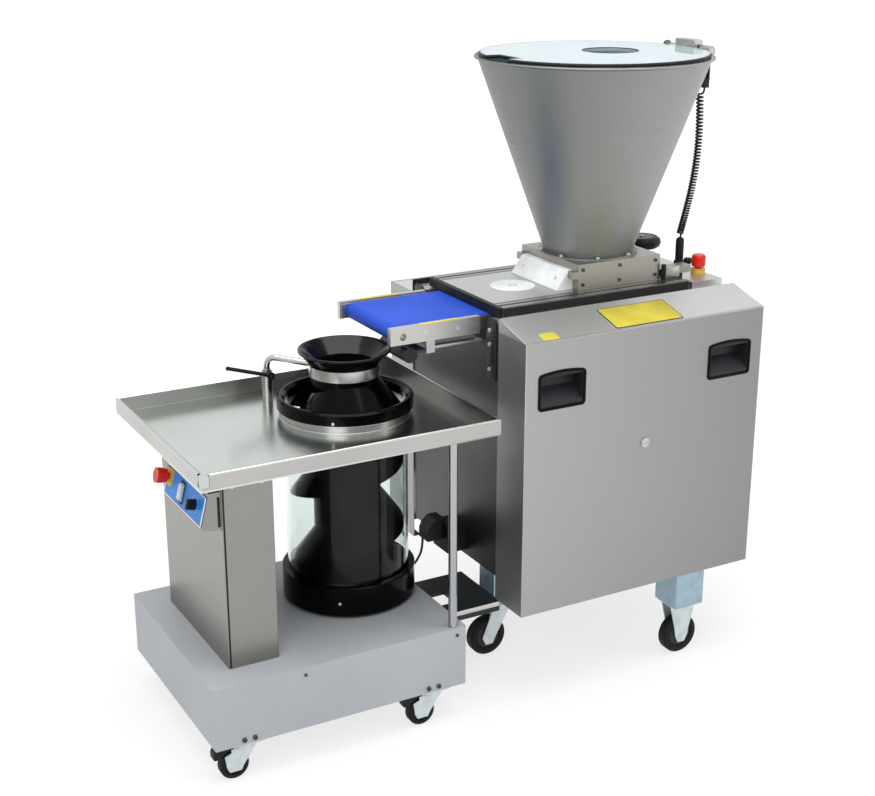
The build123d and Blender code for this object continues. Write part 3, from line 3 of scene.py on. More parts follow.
import bmesh
import bpy
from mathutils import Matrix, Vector


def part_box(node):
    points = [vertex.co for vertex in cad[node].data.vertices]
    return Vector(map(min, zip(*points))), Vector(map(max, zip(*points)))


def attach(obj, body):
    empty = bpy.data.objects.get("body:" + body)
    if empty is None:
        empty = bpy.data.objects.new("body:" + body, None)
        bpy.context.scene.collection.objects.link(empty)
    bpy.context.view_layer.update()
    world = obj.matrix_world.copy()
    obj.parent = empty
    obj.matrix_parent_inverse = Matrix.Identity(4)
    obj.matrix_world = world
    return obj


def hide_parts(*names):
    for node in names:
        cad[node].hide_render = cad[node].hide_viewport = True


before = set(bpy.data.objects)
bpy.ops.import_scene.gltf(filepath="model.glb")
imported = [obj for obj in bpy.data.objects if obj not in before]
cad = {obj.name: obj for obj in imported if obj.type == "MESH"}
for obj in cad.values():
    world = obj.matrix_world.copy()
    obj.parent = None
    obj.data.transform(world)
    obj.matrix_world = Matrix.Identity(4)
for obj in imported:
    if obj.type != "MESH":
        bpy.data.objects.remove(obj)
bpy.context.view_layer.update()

# The studio: the camera stands in front of the rounder and looks down a little at both machines.
# A pale floor and large soft lamps light them evenly, as in a catalogue picture.
scene = bpy.context.scene
scene.view_settings.view_transform = "Standard"
camera = bpy.data.objects.new("camera", bpy.data.cameras.new("camera"))
scene.collection.objects.link(camera)
camera.location = (-1.96386, -3.54765, 2.20005)
camera.rotation_euler = (math.radians(71.175), 0, math.radians(-28.936))
camera.data.lens = 61.57
camera.data.sensor_width = 36.0
scene.camera = camera


def soft_lamp(name, place, aim, width, height, power):
    """A rectangular lamp at a place, turned towards its aim."""
    lamp = bpy.data.objects.new(name, bpy.data.lights.new(name, "AREA"))
    scene.collection.objects.link(lamp)
    lamp.location = place
    lamp.rotation_euler = (Vector(aim) - Vector(place)).to_track_quat("-Z", "Y").to_euler()
    lamp.data.shape = "RECTANGLE"
    lamp.data.size = width
    lamp.data.size_y = height
    lamp.data.energy = power


soft_lamp("overhead", place=(-0.2, -0.4, 4.2), aim=(0, 0, 0.6), width=4.0, height=3.0, power=125)
soft_lamp("key", place=(-3.2, -3.4, 3.4), aim=(0, 0, 0.8), width=2.6, height=2.6, power=65)
soft_lamp("side", place=(3.4, -2.6, 2.4), aim=(0.2, 0, 0.8), width=2.2, height=2.6, power=24)


def backdrop_strength(tree, shown, unseen):
    """A brightness for what the camera, metal and glass see, and another for the light it gives."""
    path = tree.nodes.new("ShaderNodeLightPath")
    seen = path.outputs["Is Camera Ray"]
    for ray in ("Is Glossy Ray", "Is Transmission Ray"):
        either = tree.nodes.new("ShaderNodeMath")
        either.operation = "MAXIMUM"
        tree.links.new(seen, either.inputs[0])
        tree.links.new(path.outputs[ray], either.inputs[1])
        seen = either.outputs["Value"]
    strength = tree.nodes.new("ShaderNodeMapRange")
    strength.inputs["To Min"].default_value = unseen
    strength.inputs["To Max"].default_value = shown
    tree.links.new(seen, strength.inputs["Value"])
    return strength.outputs["Result"]


world = bpy.data.worlds.new("studio")
scene.world = world
world.use_nodes = True
sky = world.node_tree
sky.nodes["Background"].inputs["Color"].default_value = (1, 1, 1, 1)
sky.links.new(backdrop_strength(sky, shown=1.0, unseen=0.4), sky.nodes["Background"].inputs["Strength"])


def main_input(material, label):
    """An input of the material's main shader."""
    return material.node_tree.nodes["Principled BSDF"].inputs[label]


def finish(name, colour, roughness, metallic=0.0, shine=0.5):
    """A new material whose main shader is set to one colour; the grain is added to it."""
    material = bpy.data.materials.new(name)
    material.use_nodes = True
    main_input(material, "Base Color").default_value = (*colour, 1)
    main_input(material, "Roughness").default_value = roughness
    main_input(material, "Metallic").default_value = metallic
    main_input(material, "Specular IOR Level").default_value = shine
    return material


def own_place(material, location=(0, 0, 0), scale=(1, 1, 1)):
    """The piece's own coordinates, moved and scaled."""
    tree = material.node_tree
    place = tree.nodes.new("ShaderNodeTexCoord")
    mapping = tree.nodes.new("ShaderNodeMapping")
    mapping.inputs["Location"].default_value = location
    mapping.inputs["Scale"].default_value = scale
    tree.links.new(place.outputs["Object"], mapping.inputs["Vector"])
    return mapping.outputs["Vector"]


def distance(material, location=(0, 0, 0), scale=(1, 1, 1)):
    """How far a point is from the origin of the piece's coordinates, moved and scaled."""
    tree = material.node_tree
    length = tree.nodes.new("ShaderNodeVectorMath")
    length.operation = "LENGTH"
    tree.links.new(own_place(material, location, scale), length.inputs[0])
    return length.outputs["Value"]


def spread(material, value, low, high, to_low=0.0, to_high=1.0):
    """Stretch a value's span over another span."""
    tree = material.node_tree
    node = tree.nodes.new("ShaderNodeMapRange")
    node.inputs["From Min"].default_value = low
    node.inputs["From Max"].default_value = high
    node.inputs["To Min"].default_value = to_low
    node.inputs["To Max"].default_value = to_high
    tree.links.new(value, node.inputs["Value"])
    return node.outputs["Result"]


square = ((-1, -1), (1, -1), (1, 1), (-1, 1))
floor_half = 30
floor_mesh = bpy.data.meshes.new("floor")
floor_mesh.from_pydata([(a * floor_half, b * floor_half, 0) for a, b in square], [], [(0, 1, 2, 3)])
floor = bpy.data.objects.new("floor", floor_mesh)
scene.collection.objects.link(floor)
paper = finish("floor", (0.3, 0.3, 0.3), roughness=0.9, shine=0.0)
paper_glow = spread(paper, distance(paper), low=0.9, high=2.2, to_low=0.74, to_high=1.0)
paper_strength = backdrop_strength(paper.node_tree, shown=1.0, unseen=0.55)
paper.node_tree.links.new(paper_glow, main_input(paper, "Emission Color"))
paper.node_tree.links.new(paper_strength, main_input(paper, "Emission Strength"))
floor_mesh.materials.append(paper)


# The castors under the rounder: pressed and zinc plated forks, black rubber tyres on grey hubs.
# The front pair swivels and has a moulded brake pedal each; the rear pair is fixed.
def pattern(material, stretch, detail=3.0):
    """A noise in the piece's own coordinates, finer along the axes with the larger stretch."""
    tree = material.node_tree
    noise = tree.nodes.new("ShaderNodeTexNoise")
    noise.inputs["Scale"].default_value = 1.0
    noise.inputs["Detail"].default_value = detail
    tree.links.new(own_place(material, scale=stretch), noise.inputs["Vector"])
    return noise.outputs["Fac"]


def tones(material, factor, colours, span=(0.3, 0.7)):
    """A colour that runs between two tones with a pattern."""
    tree = material.node_tree
    ramp = tree.nodes.new("ShaderNodeValToRGB")
    for stop, position, colour in zip(ramp.color_ramp.elements, span, colours):
        stop.position = position
        stop.color = (*colour, 1)
    tree.links.new(factor, ramp.inputs["Fac"])
    return ramp.outputs["Color"]


def shaded(colour, share):
    """A colour made darker or lighter."""
    return [part * share for part in colour]


def colour_by(material, colour):
    """Give the main shader its colour."""
    material.node_tree.links.new(colour, main_input(material, "Base Color"))


def layered(material, factor, under, over):
    """One colour over another, where the factor is one."""
    tree = material.node_tree
    mix = tree.nodes.new("ShaderNodeMix")
    mix.data_type = "RGBA"
    tree.links.new(factor, mix.inputs["Factor"])
    tree.links.new(under, mix.inputs["A"])
    tree.links.new(over, mix.inputs["B"])
    return mix.outputs["Result"]


def gloss(material, factor, low, high):
    """Roughness that runs between two values with a pattern."""
    rough = spread(material, factor, low=0.3, high=0.7, to_low=low, to_high=high)
    material.node_tree.links.new(rough, main_input(material, "Roughness"))


def relief(material, factor, depth, strength=0.3):
    """Fine relief of the surface from a pattern, depth in metres."""
    tree = material.node_tree
    bump = tree.nodes.new("ShaderNodeBump")
    bump.inputs["Strength"].default_value = strength
    bump.inputs["Distance"].default_value = depth
    tree.links.new(factor, bump.inputs["Height"])
    tree.links.new(bump.outputs["Normal"], main_input(material, "Normal"))


def dress(material, *nodes):
    """Give CAD nodes a finish."""
    for node in nodes:
        for holder in cad[node].material_slots:
            holder.material = material


def moulded(name, colour, low, high, shine=0.5, depth=0.0002):
    """Moulded plastic or rubber: faint clouds in the colour and a fine skin."""
    material = finish(name, colour, roughness=(low + high) / 2, shine=shine)
    clouds = pattern(material, (9, 9, 9), 3.0)
    colour_by(material, tones(material, clouds, (shaded(colour, 0.8), shaded(colour, 1.15))))
    skin = pattern(material, (700, 700, 700), 2.0)
    gloss(material, skin, low, high)
    relief(material, skin, depth, 0.2)
    return material


def zinc_plated(name, colour):
    """Zinc plated steel: a cloudy bloom in its colour and its shine."""
    material = finish(name, colour, roughness=0.42, metallic=0.7)
    bloom = pattern(material, (38, 38, 38), 4.0)
    colour_by(material, tones(material, bloom, (shaded(colour, 0.88), shaded(colour, 1.1))))
    gloss(material, bloom, 0.34, 0.5)
    return material


zinc = zinc_plated("bright_zinc", (0.62, 0.68, 0.7))
dress(zinc, "castor_mounts", "rounder_fork_left", "rounder_fork_right")

rubber = (0.008, 0.008, 0.008)
hub_grey = (0.045, 0.047, 0.05)
hub_share = 0.6
hub_blend = 0.0008


def wheel_finish(node):
    """Black rubber outside the hub's edge and grey plastic inside it, both scuffed."""
    low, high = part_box(node)
    radius = (high[2] - low[2]) / 2
    axle_x = (low[0] + high[0]) / 2
    axle_z = (low[2] + high[2]) / 2
    material = finish(node + "_finish", rubber, roughness=0.6, shine=0.15)
    from_axle = distance(material, (-axle_x, 0, -axle_z), (1, 0, 1))
    hub_edge = radius * hub_share
    outside = spread(material, from_axle, low=hub_edge - hub_blend, high=hub_edge + hub_blend)
    scuffs = pattern(material, (160, 160, 160), 3.0)
    dusty = tones(material, scuffs, (rubber, shaded(rubber, 2.2)))
    hub = tones(material, scuffs, (hub_grey, shaded(hub_grey, 1.2)))
    colour_by(material, layered(material, outside, hub, dusty))
    gloss(material, scuffs, 0.45, 0.7)
    dress(material, node)


for row in ("front", "rear"):
    for side in ("left", "right"):
        wheel_finish(f"rounder_wheel_{row}_{side}")


def put_on(name, mesh, body):
    """Make a finished mesh a piece on a body."""
    piece = bpy.data.objects.new(name, mesh)
    scene.collection.objects.link(piece)
    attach(piece, body)


sharp_bend = 40.0


def keep(name, shape, body, material):
    """Turn a drawn shape into a piece, smooth except at its sharp edges."""
    bmesh.ops.recalc_face_normals(shape, faces=shape.faces)
    mesh = bpy.data.meshes.new(name)
    shape.to_mesh(mesh)
    shape.free()
    mesh.materials.append(material)
    mesh.polygons.foreach_set("use_smooth", [True] * len(mesh.polygons))
    mesh.set_sharp_from_angle(angle=math.radians(sharp_bend))
    put_on(name, mesh, body)


edge_bevel = 0.0008
cheek_gap = 0.0008
cheek_thick = 0.0036


def pulled(name, body, material, wheel, outline, spans):
    """A piece beside a wheel, pulled across it over each span; the outline starts from its axle."""
    low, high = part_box(wheel)
    axle = (Vector(low) + Vector(high)) / 2
    shape = bmesh.new()
    for span in spans:
        sides = []
        for reach in span:
            sides.append([shape.verts.new(axle + Vector((x, reach, z))) for x, z in outline])
        for a in range(len(outline)):
            b = (a + 1) % len(outline)
            shape.faces.new((sides[0][a], sides[0][b], sides[1][b], sides[1][a]))
        shape.faces.new(sides[0])
        shape.faces.new(sides[1])
    bmesh.ops.recalc_face_normals(shape, faces=shape.faces)
    bmesh.ops.bevel(shape, geom=shape.edges[:], offset=edge_bevel, segments=2, affect="EDGES")
    keep(name, shape, body, material)


def fork_cheeks(name, body, wheel, outline):
    """The pressed cheeks of a castor's fork, over its plates."""
    low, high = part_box(wheel)
    inner = (high[1] - low[1]) / 2 + cheek_gap
    outer = inner + cheek_thick
    pulled(name, body, zinc, wheel, outline, ((-outer, -inner), (inner, outer)))


cheek_foot = [(-0.024, 0.0), (-0.016, -0.0155), (0.016, -0.0155), (0.024, 0.0)]
swivel_cheek = [(0.0596, 0.0507), (0.0124, 0.0507), (-0.0285, 0.034)] + cheek_foot
fixed_cheek = [(0.0316, 0.061), (-0.0316, 0.061)] + cheek_foot
brake_shoe = [
    (-0.004, 0.052), (-0.054, 0.052), (-0.057, 0.046), (-0.057, 0.03), (-0.054, 0.027), (-0.040, 0.027),
    (-0.030, 0.036), (-0.018, 0.042), (-0.004, 0.0452),
]
shoe_half = 0.0133
black_matt = moulded("black_matt_plastic", (0.006, 0.006, 0.0065), low=0.42, high=0.56, shine=0.25,
                     depth=0.0004)
dress(black_matt, "brake_pedal_left", "brake_pedal_right")
for side in ("left", "right"):
    front_wheel = f"rounder_wheel_front_{side}"
    fork_cheeks(f"rounder_cheeks_{side}", f"rounder_fork_{side}", front_wheel, swivel_cheek)
    fork_cheeks(f"rounder_rear_cheeks_{side}", "machine", f"rounder_wheel_rear_{side}", fixed_cheek)
    pulled(f"brake_shoe_{side}", f"brake_pedal_{side}", black_matt, front_wheel,
           brake_shoe, ((-shoe_half, shoe_half),))


# The base of the rounder: a welded steel box, open below, with a light grey powder coat.
# Screws hold its top, and two bolt heads of each castor show on its front and back faces.
def powder_coat(name, colour, darker):
    """Powder coat with a fine orange peel."""
    material = finish(name, colour, roughness=0.5)
    colour_by(material, tones(material, pattern(material, (5, 5, 5)), (darker, colour)))
    peel = pattern(material, (420, 420, 420), 2.0)
    gloss(material, peel, 0.42, 0.58)
    relief(material, peel, 0.0004)
    return material


grey_coat = powder_coat("grey_powder_coat", (0.53, 0.555, 0.59), darker=(0.49, 0.515, 0.55))
dress(grey_coat, "rounder_base")


def tree_inputs(tree, labels):
    """Add the named inputs and one output of a node tree; returns each input's identifier."""
    kinds = {"Seed": "NodeSocketGeometry", "Sides": "NodeSocketInt", "Finish": "NodeSocketMaterial"}
    found = {}
    for label in labels:
        kind = kinds.get(label, "NodeSocketFloat")
        found[label] = tree.interface.new_socket(label, in_out="INPUT", socket_type=kind).identifier
    tree.interface.new_socket("Shape", in_out="OUTPUT", socket_type="NodeSocketGeometry")
    return found


def end_tree(tree, given, shape):
    """Realise a tree's shape, give it its finish and hand it out."""
    solid = tree.nodes.new("GeometryNodeRealizeInstances")
    coated = tree.nodes.new("GeometryNodeSetMaterial")
    out = tree.nodes.new("NodeGroupOutput")
    tree.links.new(shape, solid.inputs["Geometry"])
    tree.links.new(solid.outputs["Geometry"], coated.inputs["Geometry"])
    tree.links.new(given.outputs["Finish"], coated.inputs["Material"])
    tree.links.new(coated.outputs["Geometry"], out.inputs["Shape"])


def grown(name, body, seed, tree, inputs, values):
    """Run a tree on a mesh of points or lines and keep the result as a plain mesh on a body."""
    holder = bpy.data.objects.new(name + "_seed", seed)
    scene.collection.objects.link(holder)
    modifier = holder.modifiers.new("shape", "NODES")
    modifier.node_group = tree
    for label, value in values.items():
        modifier[inputs[label]] = value
    bpy.context.view_layer.update()
    shape = bpy.data.meshes.new_from_object(holder.evaluated_get(bpy.context.evaluated_depsgraph_get()))
    bpy.data.objects.remove(holder)
    bpy.data.meshes.remove(seed)
    shape.name = name
    put_on(name, shape, body)


# A fastener's head is a short cylinder with a well in its top, set on each spot along its facing.
fastener_tree = bpy.data.node_groups.new("fastener_heads", "GeometryNodeTree")
fastener_inputs = tree_inputs(fastener_tree, ("Seed", "Sides", "Radius", "Height", "Recess", "Finish"))
step = fastener_tree.nodes.new
join = fastener_tree.links.new
given = step("NodeGroupInput")
blank = step("GeometryNodeMeshCylinder")
join(given.outputs["Sides"], blank.inputs["Vertices"])
join(given.outputs["Radius"], blank.inputs["Radius"])
join(given.outputs["Height"], blank.inputs["Depth"])
crown = step("GeometryNodeExtrudeMesh")
crown.inputs["Offset Scale"].default_value = 0.0
join(blank.outputs["Mesh"], crown.inputs["Mesh"])
join(blank.outputs["Top"], crown.inputs["Selection"])
rim = step("GeometryNodeScaleElements")
join(crown.outputs["Mesh"], rim.inputs["Geometry"])
join(crown.outputs["Top"], rim.inputs["Selection"])
join(given.outputs["Recess"], rim.inputs["Scale"])
well_share = 0.4
well_depth = step("ShaderNodeMath")
well_depth.operation = "MULTIPLY"
well_depth.inputs[1].default_value = -well_share
join(given.outputs["Height"], well_depth.inputs[0])
well = step("GeometryNodeExtrudeMesh")
join(rim.outputs["Geometry"], well.inputs["Mesh"])
join(crown.outputs["Top"], well.inputs["Selection"])
join(well_depth.outputs["Value"], well.inputs["Offset Scale"])
facing = step("GeometryNodeInputNamedAttribute")
facing.data_type = "FLOAT_VECTOR"
facing.inputs["Name"].default_value = "facing"
turn = step("FunctionNodeAlignRotationToVector")
turn.axis = "Z"
join(facing.outputs["Attribute"], turn.inputs["Vector"])
placed = step("GeometryNodeInstanceOnPoints")
join(given.outputs["Seed"], placed.inputs["Points"])
join(well.outputs["Mesh"], placed.inputs["Instance"])
join(turn.outputs["Rotation"], placed.inputs["Rotation"])
end_tree(fastener_tree, given, placed.outputs["Instances"])


def fastener_heads(name, body, material, spots, radius, height, sides=14, recess=0.5):
    """Screw or bolt heads at the spots, each a place and the way that it faces."""
    seed = bpy.data.meshes.new(name + "_spots")
    seed.from_pydata([place for place, way in spots], [], [])
    ways = seed.attributes.new("facing", "FLOAT_VECTOR", "POINT")
    for entry, (place, way) in zip(ways.data, spots):
        entry.vector = way
    values = {"Sides": sides, "Radius": radius, "Height": height, "Recess": recess, "Finish": material}
    grown(name, body, seed, fastener_tree, fastener_inputs, values)


to_front = (0, -1, 0)
to_back = (0, 1, 0)
to_left = (-1, 0, 0)
to_right = (1, 0, 0)
to_top = (0, 0, 1)
base_front = -0.358
base_back = 0.275


def front_and_back(front, back, xs, heights):
    """Spots on a front and a back face, at each height along X."""
    spots = []
    for height in heights:
        spots += [((x, front, height), to_front) for x in xs]
        spots += [((x, back, height), to_back) for x in xs]
    return spots


castor_bolts = front_and_back(base_front, base_back, xs=(-0.769, -0.740, -0.228, -0.197), heights=(0.119,))
dark_steel = finish("oiled_bolt_steel", (0.1, 0.1, 0.105), roughness=0.4, metallic=0.9)
bolt_stain = pattern(dark_steel, (90, 90, 90), 3.0)
colour_by(dark_steel, tones(dark_steel, bolt_stain, ((0.06, 0.06, 0.065), (0.15, 0.15, 0.155))))
gloss(dark_steel, bolt_stain, 0.3, 0.5)
fastener_heads("castor_bolts", "machine", dark_steel, castor_bolts, radius=0.0075, height=0.008,
               sides=6, recess=0.55)
base_screws = front_and_back(base_front, base_back, xs=(-0.592, -0.139), heights=(0.260,))
fastener_heads("base_screws", "machine", dark_steel, base_screws, radius=0.005, height=0.004)


# The column: a folded stainless casing on the base that carries the tray and the control box.
# Its front sheet is let in at the left corner with a dark seal, and the box has a capped end.
def brushed(name, colour, grain, roughness=0.36):
    """Brushed steel. grain is the axis that the brushing follows."""
    material = finish(name, colour, roughness=roughness, metallic=1.0)
    fine = [900.0, 900.0, 900.0]
    fine["xyz".index(grain)] = 9.0
    lines = pattern(material, fine, 4.0)
    clouds = pattern(material, (2.4, 2.4, 2.4), 2.0)
    colour_by(material, tones(material, clouds, (shaded(colour, 0.9), colour)))
    gloss(material, lines, roughness - 0.07, roughness + 0.08)
    relief(material, lines, 0.00025, 0.25)
    return material


edge_rise = 0.65
edge_inset = 0.6


def plates(name, body, material, places, length, width, thick, corner):
    """Flat plates with rounded corners and a softened edge, each at a place, along and across."""
    shape = bmesh.new()
    for foot, along, across in places:
        along = Vector(along).normalized()
        across = Vector(across).normalized()
        up = along.cross(across)
        outline = []
        for quarter, (a, b) in enumerate(((1, 1), (-1, 1), (-1, -1), (1, -1))):
            middle = Vector(foot) + along * (a * (length / 2 - corner)) + across * (b * (width / 2 - corner))
            for part in range(5):
                angle = math.radians(90 * quarter + 22.5 * part)
                outline.append(middle + (along * math.cos(angle) + across * math.sin(angle)) * corner)
        centre = Vector(foot)
        softened = [centre + (point - centre) * (1 - edge_inset * thick / width) for point in outline]
        layers = [
            [shape.verts.new(point) for point in outline],
            [shape.verts.new(point + up * thick * edge_rise) for point in outline],
            [shape.verts.new(point + up * thick) for point in softened],
        ]
        for lower, upper in zip(layers, layers[1:]):
            for a in range(len(outline)):
                b = (a + 1) % len(outline)
                shape.faces.new((lower[a], lower[b], upper[b], upper[a]))
        shape.faces.new(layers[0])
        shape.faces.new(layers[-1])
    keep(name, shape, body, material)


column_steel = brushed("stainless_column", (0.285, 0.278, 0.262), grain="z")
dress(column_steel, "column_casing")
column_left = -0.769
column_front = -0.273
seal = moulded("black_seal", (0.02, 0.02, 0.02), low=0.5, high=0.65, shine=0.2)
seal_thick = 0.0008
seal_corner = 0.001
column_seal_place = (column_left + 0.0045, column_front, 0.545)
plates("column_seal", "machine", seal, [(column_seal_place, to_top, to_left)],
       length=0.52, width=0.005, thick=seal_thick, corner=seal_corner)
box_seal_place = (column_left - 0.006, -0.268, 0.724)
plates("control_box_seal", "machine", seal, [(box_seal_place, to_top, to_left)],
       length=0.082, width=0.007, thick=seal_thick, corner=seal_corner)
column_screw_z = 0.786
column_screws = [((x, column_front, column_screw_z), to_front) for x in (-0.739, -0.659)]
fastener_heads("column_screws", "machine", zinc, column_screws, radius=0.0045, height=0.004)


# The control panel: a blue front film in a pale metal edge on the sloping face of the control box.
# It carries a stop button on a yellow collar, a white rocker switch and a black speed knob.
def rolled_line(name, body, material, line, roll, corner=0.0, closed=False):
    """A round bead of the given radius along a line, with rounded corners."""
    count = len(line)
    edges = [(a, a + 1) for a in range(count - 1)]
    if closed:
        edges.append((count - 1, 0))
    seed = bpy.data.meshes.new(name + "_line")
    seed.from_pydata([tuple(point) for point in line], edges, [])
    values = {"Roll": roll, "Corner": corner, "Finish": material}
    grown(name, body, seed, bead_tree, bead_inputs, values)


# A bead is a round section drawn along a line whose corners are eased.
bead_tree = bpy.data.node_groups.new("rolled_bead", "GeometryNodeTree")
bead_inputs = tree_inputs(bead_tree, ("Seed", "Roll", "Corner", "Finish"))
step = bead_tree.nodes.new
join = bead_tree.links.new
given = step("NodeGroupInput")
route = step("GeometryNodeMeshToCurve")
join(given.outputs["Seed"], route.inputs["Mesh"])
eased = step("GeometryNodeFilletCurve")
eased.mode = "POLY"
eased.inputs["Count"].default_value = 5
eased.inputs["Limit Radius"].default_value = True
join(route.outputs["Curve"], eased.inputs["Curve"])
join(given.outputs["Corner"], eased.inputs["Radius"])
section = step("GeometryNodeCurvePrimitiveCircle")
section.inputs["Resolution"].default_value = 10
join(given.outputs["Roll"], section.inputs["Radius"])
bead = step("GeometryNodeCurveToMesh")
bead.inputs["Fill Caps"].default_value = True
join(eased.outputs["Curve"], bead.inputs["Curve"])
join(section.outputs["Curve"], bead.inputs["Profile Curve"])
smooth = step("GeometryNodeSetShadeSmooth")
join(bead.outputs["Mesh"], smooth.inputs["Geometry"])
end_tree(bead_tree, given, smooth.outputs["Geometry"])

panel_middle = Vector((-0.8125, -0.130, 0.7285))
panel_up = Vector((0.021, 0, 0.081)).normalized()
panel_along = Vector((0, -1, 0))
panel_out = panel_along.cross(panel_up)
film_thick = 0.0025
panel_face = panel_middle + panel_out * film_thick


def on_panel(u, v, out=0.0):
    """A point on the panel, u towards the front and v up it, out from its face."""
    return panel_face + panel_along * u + panel_up * v + panel_out * out


def panel_frame(u, length, height):
    """The corners of a rectangle on the panel."""
    return [on_panel(u + a * length / 2, b * height / 2) for a, b in square]


blue_film = moulded("blue_panel_film", (0.025, 0.285, 0.86), low=0.28, high=0.38, shine=0.2)
dress(blue_film, "control_panel")
pale_edge = brushed("pale_panel_edge", (0.72, 0.74, 0.76), grain="y", roughness=0.3)
rolled_line("panel_edge", "machine", pale_edge, panel_frame(0, length=0.269, height=0.077),
            roll=0.0018, corner=0.004, closed=True)
rolled_line("switch_frame", "machine", black_matt,
            panel_frame(-0.018, length=0.026, height=0.056), roll=0.0022, corner=0.003, closed=True)
white_plastic = moulded("white_food_plastic", (0.84, 0.86, 0.86), low=0.34, high=0.46)
dress(white_plastic, "start_switch")
knob_u = 0.074
dial_radius = 0.0215
dial_spots = []
for mark in range(11):
    bearing = math.radians(225 - 27 * mark)
    spot = on_panel(knob_u + dial_radius * math.cos(bearing), dial_radius * math.sin(bearing))
    dial_spots.append((spot, panel_out))
fastener_heads("dial_marks", "machine", white_plastic, dial_spots, radius=0.0014,
               height=0.0008, sides=8, recess=0.6)
red_plastic = moulded("red_button", (0.8, 0.022, 0.012), low=0.24, high=0.34, shine=0.3)
yellow_plastic = moulded("yellow_collar", (0.72, 0.46, 0.03), low=0.3, high=0.4)
dress(red_plastic, "rounder_stop_button", "divider_stop_button")
stop_middle = on_panel(-0.114, 0.012, 0.0325)
fastener_heads("stop_cap", "rounder_stop_button", red_plastic, [(stop_middle, panel_out)],
               radius=0.0205, height=0.016, sides=32, recess=0.06)
dress(yellow_plastic, "stop_collars")
dress(black_matt, "speed_knob")


# The table tray: folded from bright stainless sheet with a rolled rim, on the column and two chrome posts.
# A welded collar stands round the drum and a socket beside it holds the feed arm.
def own_axis(material, axis):
    """The piece's own coordinate along one axis."""
    tree = material.node_tree
    split = tree.nodes.new("ShaderNodeSeparateXYZ")
    tree.links.new(own_place(material), split.inputs["Vector"])
    return split.outputs[axis]


tray_steel = finish("stainless_tray", (0.5, 0.5, 0.49), roughness=0.32, metallic=1.0)
tray_lines = pattern(tray_steel, (9, 900, 900), 4.0)
tray_clouds = pattern(tray_steel, (2.4, 2.4, 2.4), 2.0)
# Painted light and shade: the floor's tone falls towards the drum as painted shade, and the walls above it
# have a tone of their own, a painted shade duller than the floor's lit part.
above_floor = spread(tray_steel, own_axis(tray_steel, "Z"), low=0.8255, high=0.8262)
drum_side_shade_mask = spread(tray_steel, own_axis(tray_steel, "X"), low=-0.52, high=-0.06)
tray_lit_floor_tone = tones(tray_steel, tray_clouds, ((0.55, 0.59, 0.56), (0.61, 0.65, 0.62)))
tray_painted_shade_tone = tones(tray_steel, tray_clouds, ((0.27, 0.28, 0.265), (0.32, 0.33, 0.315)))
tray_floor_light_and_shade = layered(tray_steel, drum_side_shade_mask, tray_lit_floor_tone, tray_painted_shade_tone)
tray_wall_painted_shade_tone = tones(tray_steel, tray_clouds, ((0.36, 0.36, 0.345), (0.44, 0.435, 0.42)))
colour_by(tray_steel, layered(tray_steel, above_floor, tray_floor_light_and_shade, tray_wall_painted_shade_tone))
gloss(tray_steel, tray_lines, 0.2, 0.27)
relief(tray_steel, tray_lines, 0.0001, 0.1)
dress(tray_steel, "table_tray")
chrome = brushed("bright_chrome", (0.4, 0.41, 0.43), grain="z", roughness=0.16)
dress(chrome, "table_posts")
rim_steel = brushed("bright_rim", (0.6, 0.605, 0.59), grain="x", roughness=0.28)
rim_left = -0.8468
rim_right = -0.0112
rim_front = -0.3568
rim_back = 0.3018
rim_z = 0.864
rim_route = [
    (-0.828, rim_front, rim_z), (rim_right, rim_front, rim_z), (rim_right, rim_back, rim_z),
    (rim_left, rim_back, rim_z), (rim_left, -0.338, rim_z),
]
rolled_line("tray_rim", "machine", rim_steel, rim_route, roll=0.0036, corner=0.004)
corner_route = [(-0.8485, -0.3585, height) for height in (0.8235, 0.836)]
rolled_line("tray_corner_edge", "machine", rim_steel, corner_route, roll=0.002)
drum_x = -0.294


def circle(centre, radius, height, count=72):
    """The points of a level circle."""
    points = []
    for part in range(count):
        angle = 2 * math.pi * part / count
        points.append((centre[0] + radius * math.cos(angle), centre[1] + radius * math.sin(angle), height))
    return points


rolled_line("collar_lip", "machine", rim_steel,
            circle((drum_x, 0), radius=0.1792, height=0.8462), roll=0.0022, closed=True)
rolled_line("collar_weld", "machine", rim_steel,
            circle((drum_x, 0), radius=0.181, height=0.8258), roll=0.0022, closed=True)

# The drum: a black moulded bowl and top ring with a clear acrylic tube between them.
# All three turn together on the spindle; three small screws hold the tube in each moulding.
black_gloss = moulded("black_gloss_plastic", (0.0016, 0.0016, 0.0018), low=0.1, high=0.17, shine=0.08)
dress(black_gloss, "drum_bowl", "drum_ring")
drum_outside = 0.189
drum_screws = []
for third in range(3):
    for bearing, height in ((-125.5, 0.857), (-123.1, 0.330)):
        angle = math.radians(bearing + 120 * third)
        way = Vector((math.cos(angle), math.sin(angle), 0))
        drum_screws.append((Vector((drum_x, 0, height)) + way * drum_outside, way))
fastener_heads("drum_screws", "drum", zinc, drum_screws, radius=0.0042, height=0.004)


def acrylic(name, colour, roughness, clearness=1.0):
    """Clear acrylic sheet, faintly scuffed."""
    material = finish(name, colour, roughness=roughness)
    main_input(material, "Transmission Weight").default_value = clearness
    main_input(material, "IOR").default_value = 1.22
    scuffs = pattern(material, (60, 60, 60), 4.0)
    gloss(material, scuffs, roughness, roughness + 0.03)
    return material


tube_acrylic = acrylic("clear_tube", (0.84, 0.89, 0.885), roughness=0.01)
dress(tube_acrylic, "drum_tube")

